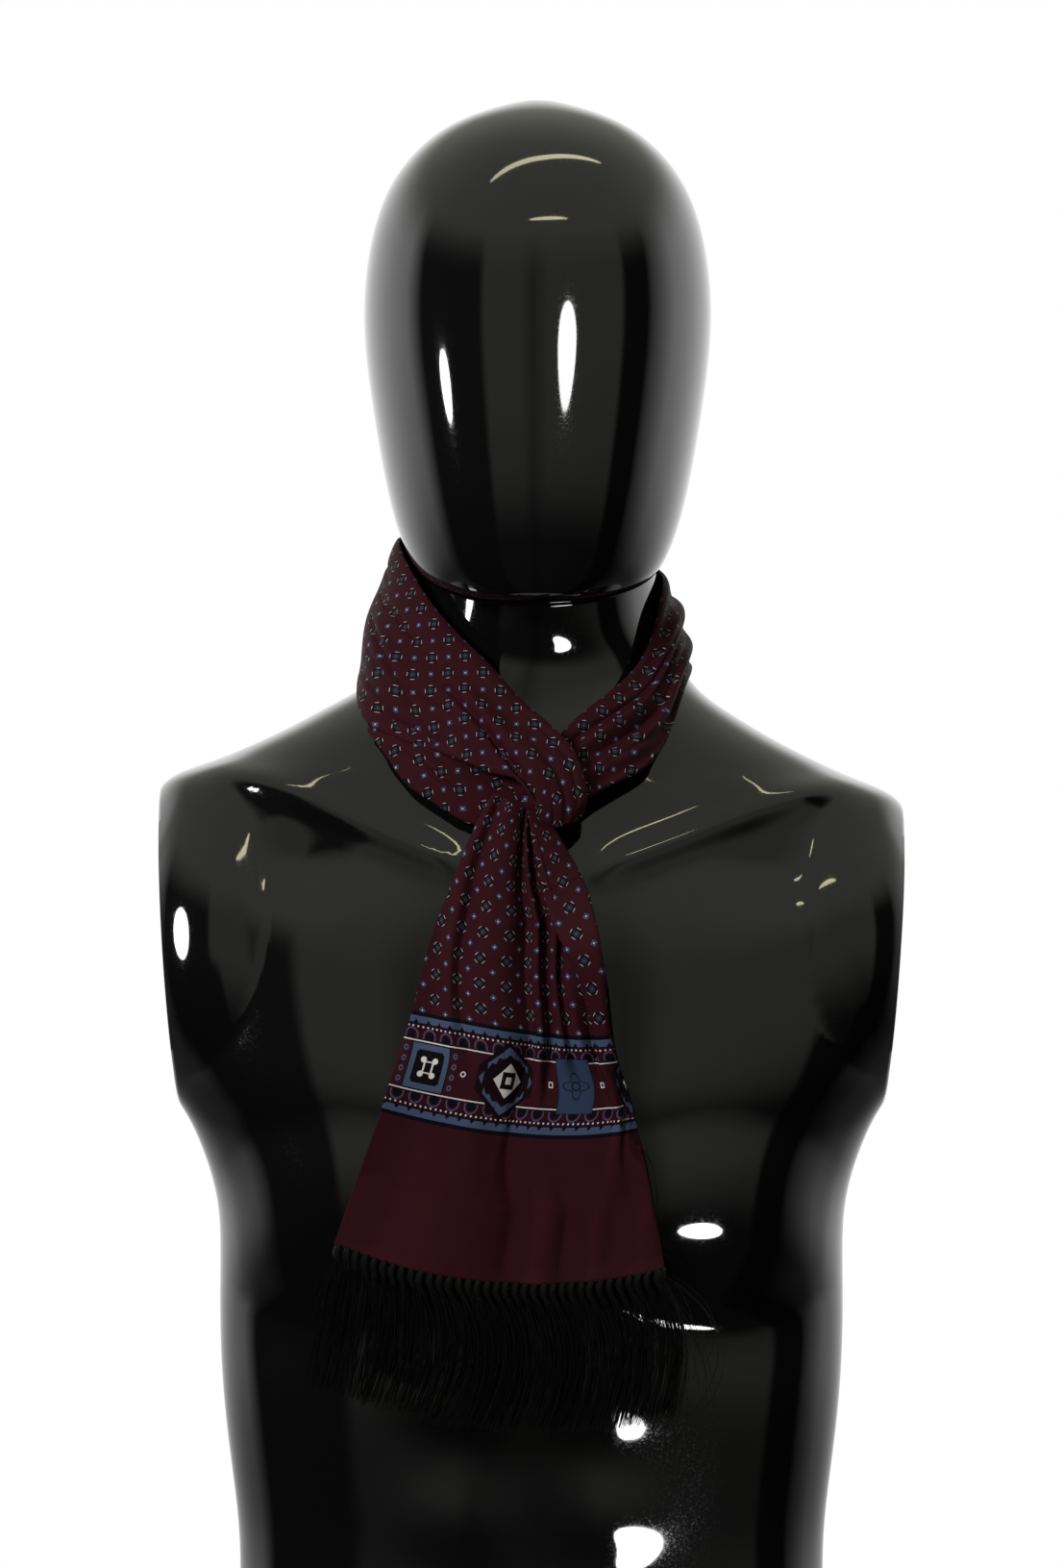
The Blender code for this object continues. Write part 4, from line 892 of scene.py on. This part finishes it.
TAIL_FOLDS = (
    # place across the cloth in millimetres and slope there in degrees, for each of the FOLD_ROWS
    (0, 0, 0, 0, 0, -8, 0, -8, 0, -8),
    (10, 20, 10, 20, 10, 10, 10, -4, 12, 6),
    (16, 44, 16, 46, 16, 34, 18, 8, 26, 16),
    (23.5, 44, 23.5, 46, 23.5, 34, 26, 8, 38, 14),
    (26, -30, 26, -30, 26, -24, 31, 4, 46, 4),
    (29.5, -36, 29.5, -36, 29.5, -28, 35, -2, 54, -6),
    (32, 36, 32, 40, 32, 28, 39, -4, 62, -8),
    (39, 34, 39, 36, 39, 24, 44, -6, 65, -9),
    (44, 0, 44, 8, 44, 4, 48, -8, 67, -11),
    (51, -24, 51, -12, 51, -12, 52, -12, 69, -14),
    (55, -40, 55, -36, 55, -30, 55, -36, 69, -14),
    (57, -80, 57, -46, 57, -36, 57, -42, 74, -22),
    (62.5, -84, 62.5, -50, 64, -42, 64, -44, 79, -24),
    (64, 0, 64, 0, 65.5, 0, 65.5, 0, 84, -14),
    (65.5, 84, 65.5, 60, 67, 60, 67, 44, 87, 0),
    (70.5, 84, 70.5, 62, 71.5, 62, 71.5, 46, 90.5, 22),
    (72, 0, 72, 0, 73, 0, 73, 0, 94, 28),
    (73.5, -84, 73.5, -60, 74.5, -60, 74.5, -40, 97, 20),
    (78.5, -84, 78.5, -62, 79, -62, 79, -30, 100, 0),
    (80, 0, 80, 0, 80.5, 0, 80.5, 0, 103.5, -16),
    (81.5, 84, 81.5, 60, 82, 54, 82, 22, 107, -26),
    (86.5, 84, 86.5, 62, 86.5, 54, 86.5, 24, 110.5, -28),
    (88, 0, 88, 0, 88, 0, 90, 4, 114, -16),
    (89.5, -80, 89.5, -56, 89.5, -54, 93, 0, 116.5, 0),
    (92, -80, 92, -56, 92.5, -50, 96, -4, 119.5, 24),
    (93.5, 0, 93.5, 0, 94, 20, 99, -6, 122, 30),
    (94.5, 88, 94.5, 86, 95, 32, 101, -8, 124.5, 22),
    (97.5, 92, 97.5, 92, 98, 30, 103, -10, 126.5, 8),
    (101.5, 92, 101.5, 94, 100, -36, 104.5, 0, 128.5, -4),
    (102.5, 130, 102.5, 130, 105, -40, 105.5, 20, 131, -10),
    (103.5, 176, 103.5, 176, 106.2, 20, 106.5, 54, 133.5, -12),
    (105.5, 178, 105.5, 178, 107.5, 90, 108, 68, 136, -10),
    (107.5, 90, 107.5, 90, 112.5, 94, 111.5, 68, 138.5, -4),
    (109, 6, 109, 6, 114, 60, 112.8, 10, 140.5, 0),
    (112, -4, 112, -4, 115.2, 6, 114, -54, 143, 8),
    (119, -6, 119, -4, 119, 0, 118, -68, 146, 14),
    (124, -20, 124, -12, 123, -8, 123, -62, 149, 12),
    (131, -24, 131, -20, 129, -16, 128, -40, 152, 4),
    (140, 0, 140, -8, 137, -12, 134, -16, 155, -4),
    (152, 0, 152, 0, 146, 0, 142, 0, 160, -10),
    (165, 0, 165, 0, 165, 4, 165, 0, 165, -12),
)
TAIL_LINES, TAIL_ACROSS = 218, 222


def tail_surface(at, columns):
    """Points and cloth places of the front tail. Along each row the slopes of the folds are added up across
    the cloth, scaled by the one gather that gives the row its width, kept from going deeper than the row
    allows, and laid on the row's bowed line."""
    read = spline(np.arange(len(TAIL_ROWS)), TAIL_ROWS, at)
    lx, lz, rx, rz, bow, lift, y, deep, roll_left, roll_right = read.T[..., None]
    hidden = HIDDEN_AT_KNOT + (HIDDEN_PLY - HIDDEN_AT_KNOT) * ease(at[:, None] / 5)
    start = np.maximum(0.0, roll_left - hidden)
    end = CLOTH_WIDTH - np.maximum(0.0, roll_right - hidden)
    v = start + (end - start) * np.linspace(0.0, 1.0, columns)[None]
    folds = np.asarray(TAIL_FOLDS)
    blend = spline(FOLD_ROWS, np.eye(len(FOLD_ROWS)), at)
    places, slopes = blend @ folds[:, 0::2].T / 1000, blend @ folds[:, 1::2].T
    slope = np.radians([np.interp(*row) for row in zip(v, places, slopes)])
    at_left = 1 - ease((v - roll_left) / ROLL_LENGTH + 0.5)
    at_right = ease((v - CLOTH_WIDTH + roll_right) / ROLL_LENGTH + 0.5)
    width = np.hypot(rx - lx, rz - lz)
    step = v[:, 1:2] - v[:, :1]
    panel = (v > FLAT_PANEL[0]) & (v < FLAT_PANEL[1])

    def line(gather):
        """The row's line across and out with its slopes scaled by the gather."""
        bent = gather * slope * (1 - at_left) * (1 - at_right) + ROLL_TURN * (at_left - at_right)
        middle = (bent[:, 1:] + bent[:, :-1]) / 2
        zero = np.zeros_like(step)
        across = np.concatenate([zero, np.cumsum(np.cos(middle), axis=1)], axis=1) * step
        out = np.concatenate([zero, np.cumsum(np.sin(middle), axis=1)], axis=1) * step
        out -= np.sum(out * panel, axis=1, keepdims=True) / panel.sum(axis=1, keepdims=True)
        return across - across.min(axis=1, keepdims=True), out

    low, high = np.zeros_like(width), np.full_like(width, MOST_GATHER)
    for _ in range(24):  # halves the range that holds the gather
        gather = (low + high) / 2
        wide = line(gather)[0].max(axis=1, keepdims=True) > width
        low, high = np.where(wide, gather, low), np.where(wide, high, gather)
    across, out = line((low + high) / 2)
    squeeze = width / across.max(axis=1, keepdims=True)
    across, out = across * squeeze, out * np.minimum(squeeze, 1.0)
    under = np.maximum(-out - deep, 0.0)
    out += under - SOFT_FLOOR * (1 - np.exp(-under / SOFT_FLOOR))
    q = across / width
    x = lx + (rx - lx) * q
    z = lz + (rz - lz) * q - bow * 4 * q * (1 - q) + lift * np.sin(math.pi * q) * (1 - 0.5 * q)
    points = np.stack([x, y - out, z], axis=2)
    centre = np.concatenate([(lx + rx) / 2, y, (lz + rz) / 2 - bow], axis=1)
    run = np.concatenate([[0.0], np.cumsum(np.linalg.norm(np.diff(centre, axis=0), axis=1))])
    height = (run[-1] - run)[:, None] + np.zeros_like(v)
    return points, np.stack([v, height], axis=2)


tail_silk = printed_silk("silk_tail", 0.0150, 0.1222, border=True)
points, cloth = tail_surface(np.linspace(0, len(TAIL_ROWS) - 1.0, TAIL_LINES), TAIL_ACROSS)
front_fringe = add_fringe("front_fringe", points[-1], 36, ["front_fringe"])
add_sheet("front_tail", points, cloth, tail_silk, ["front_tail"])
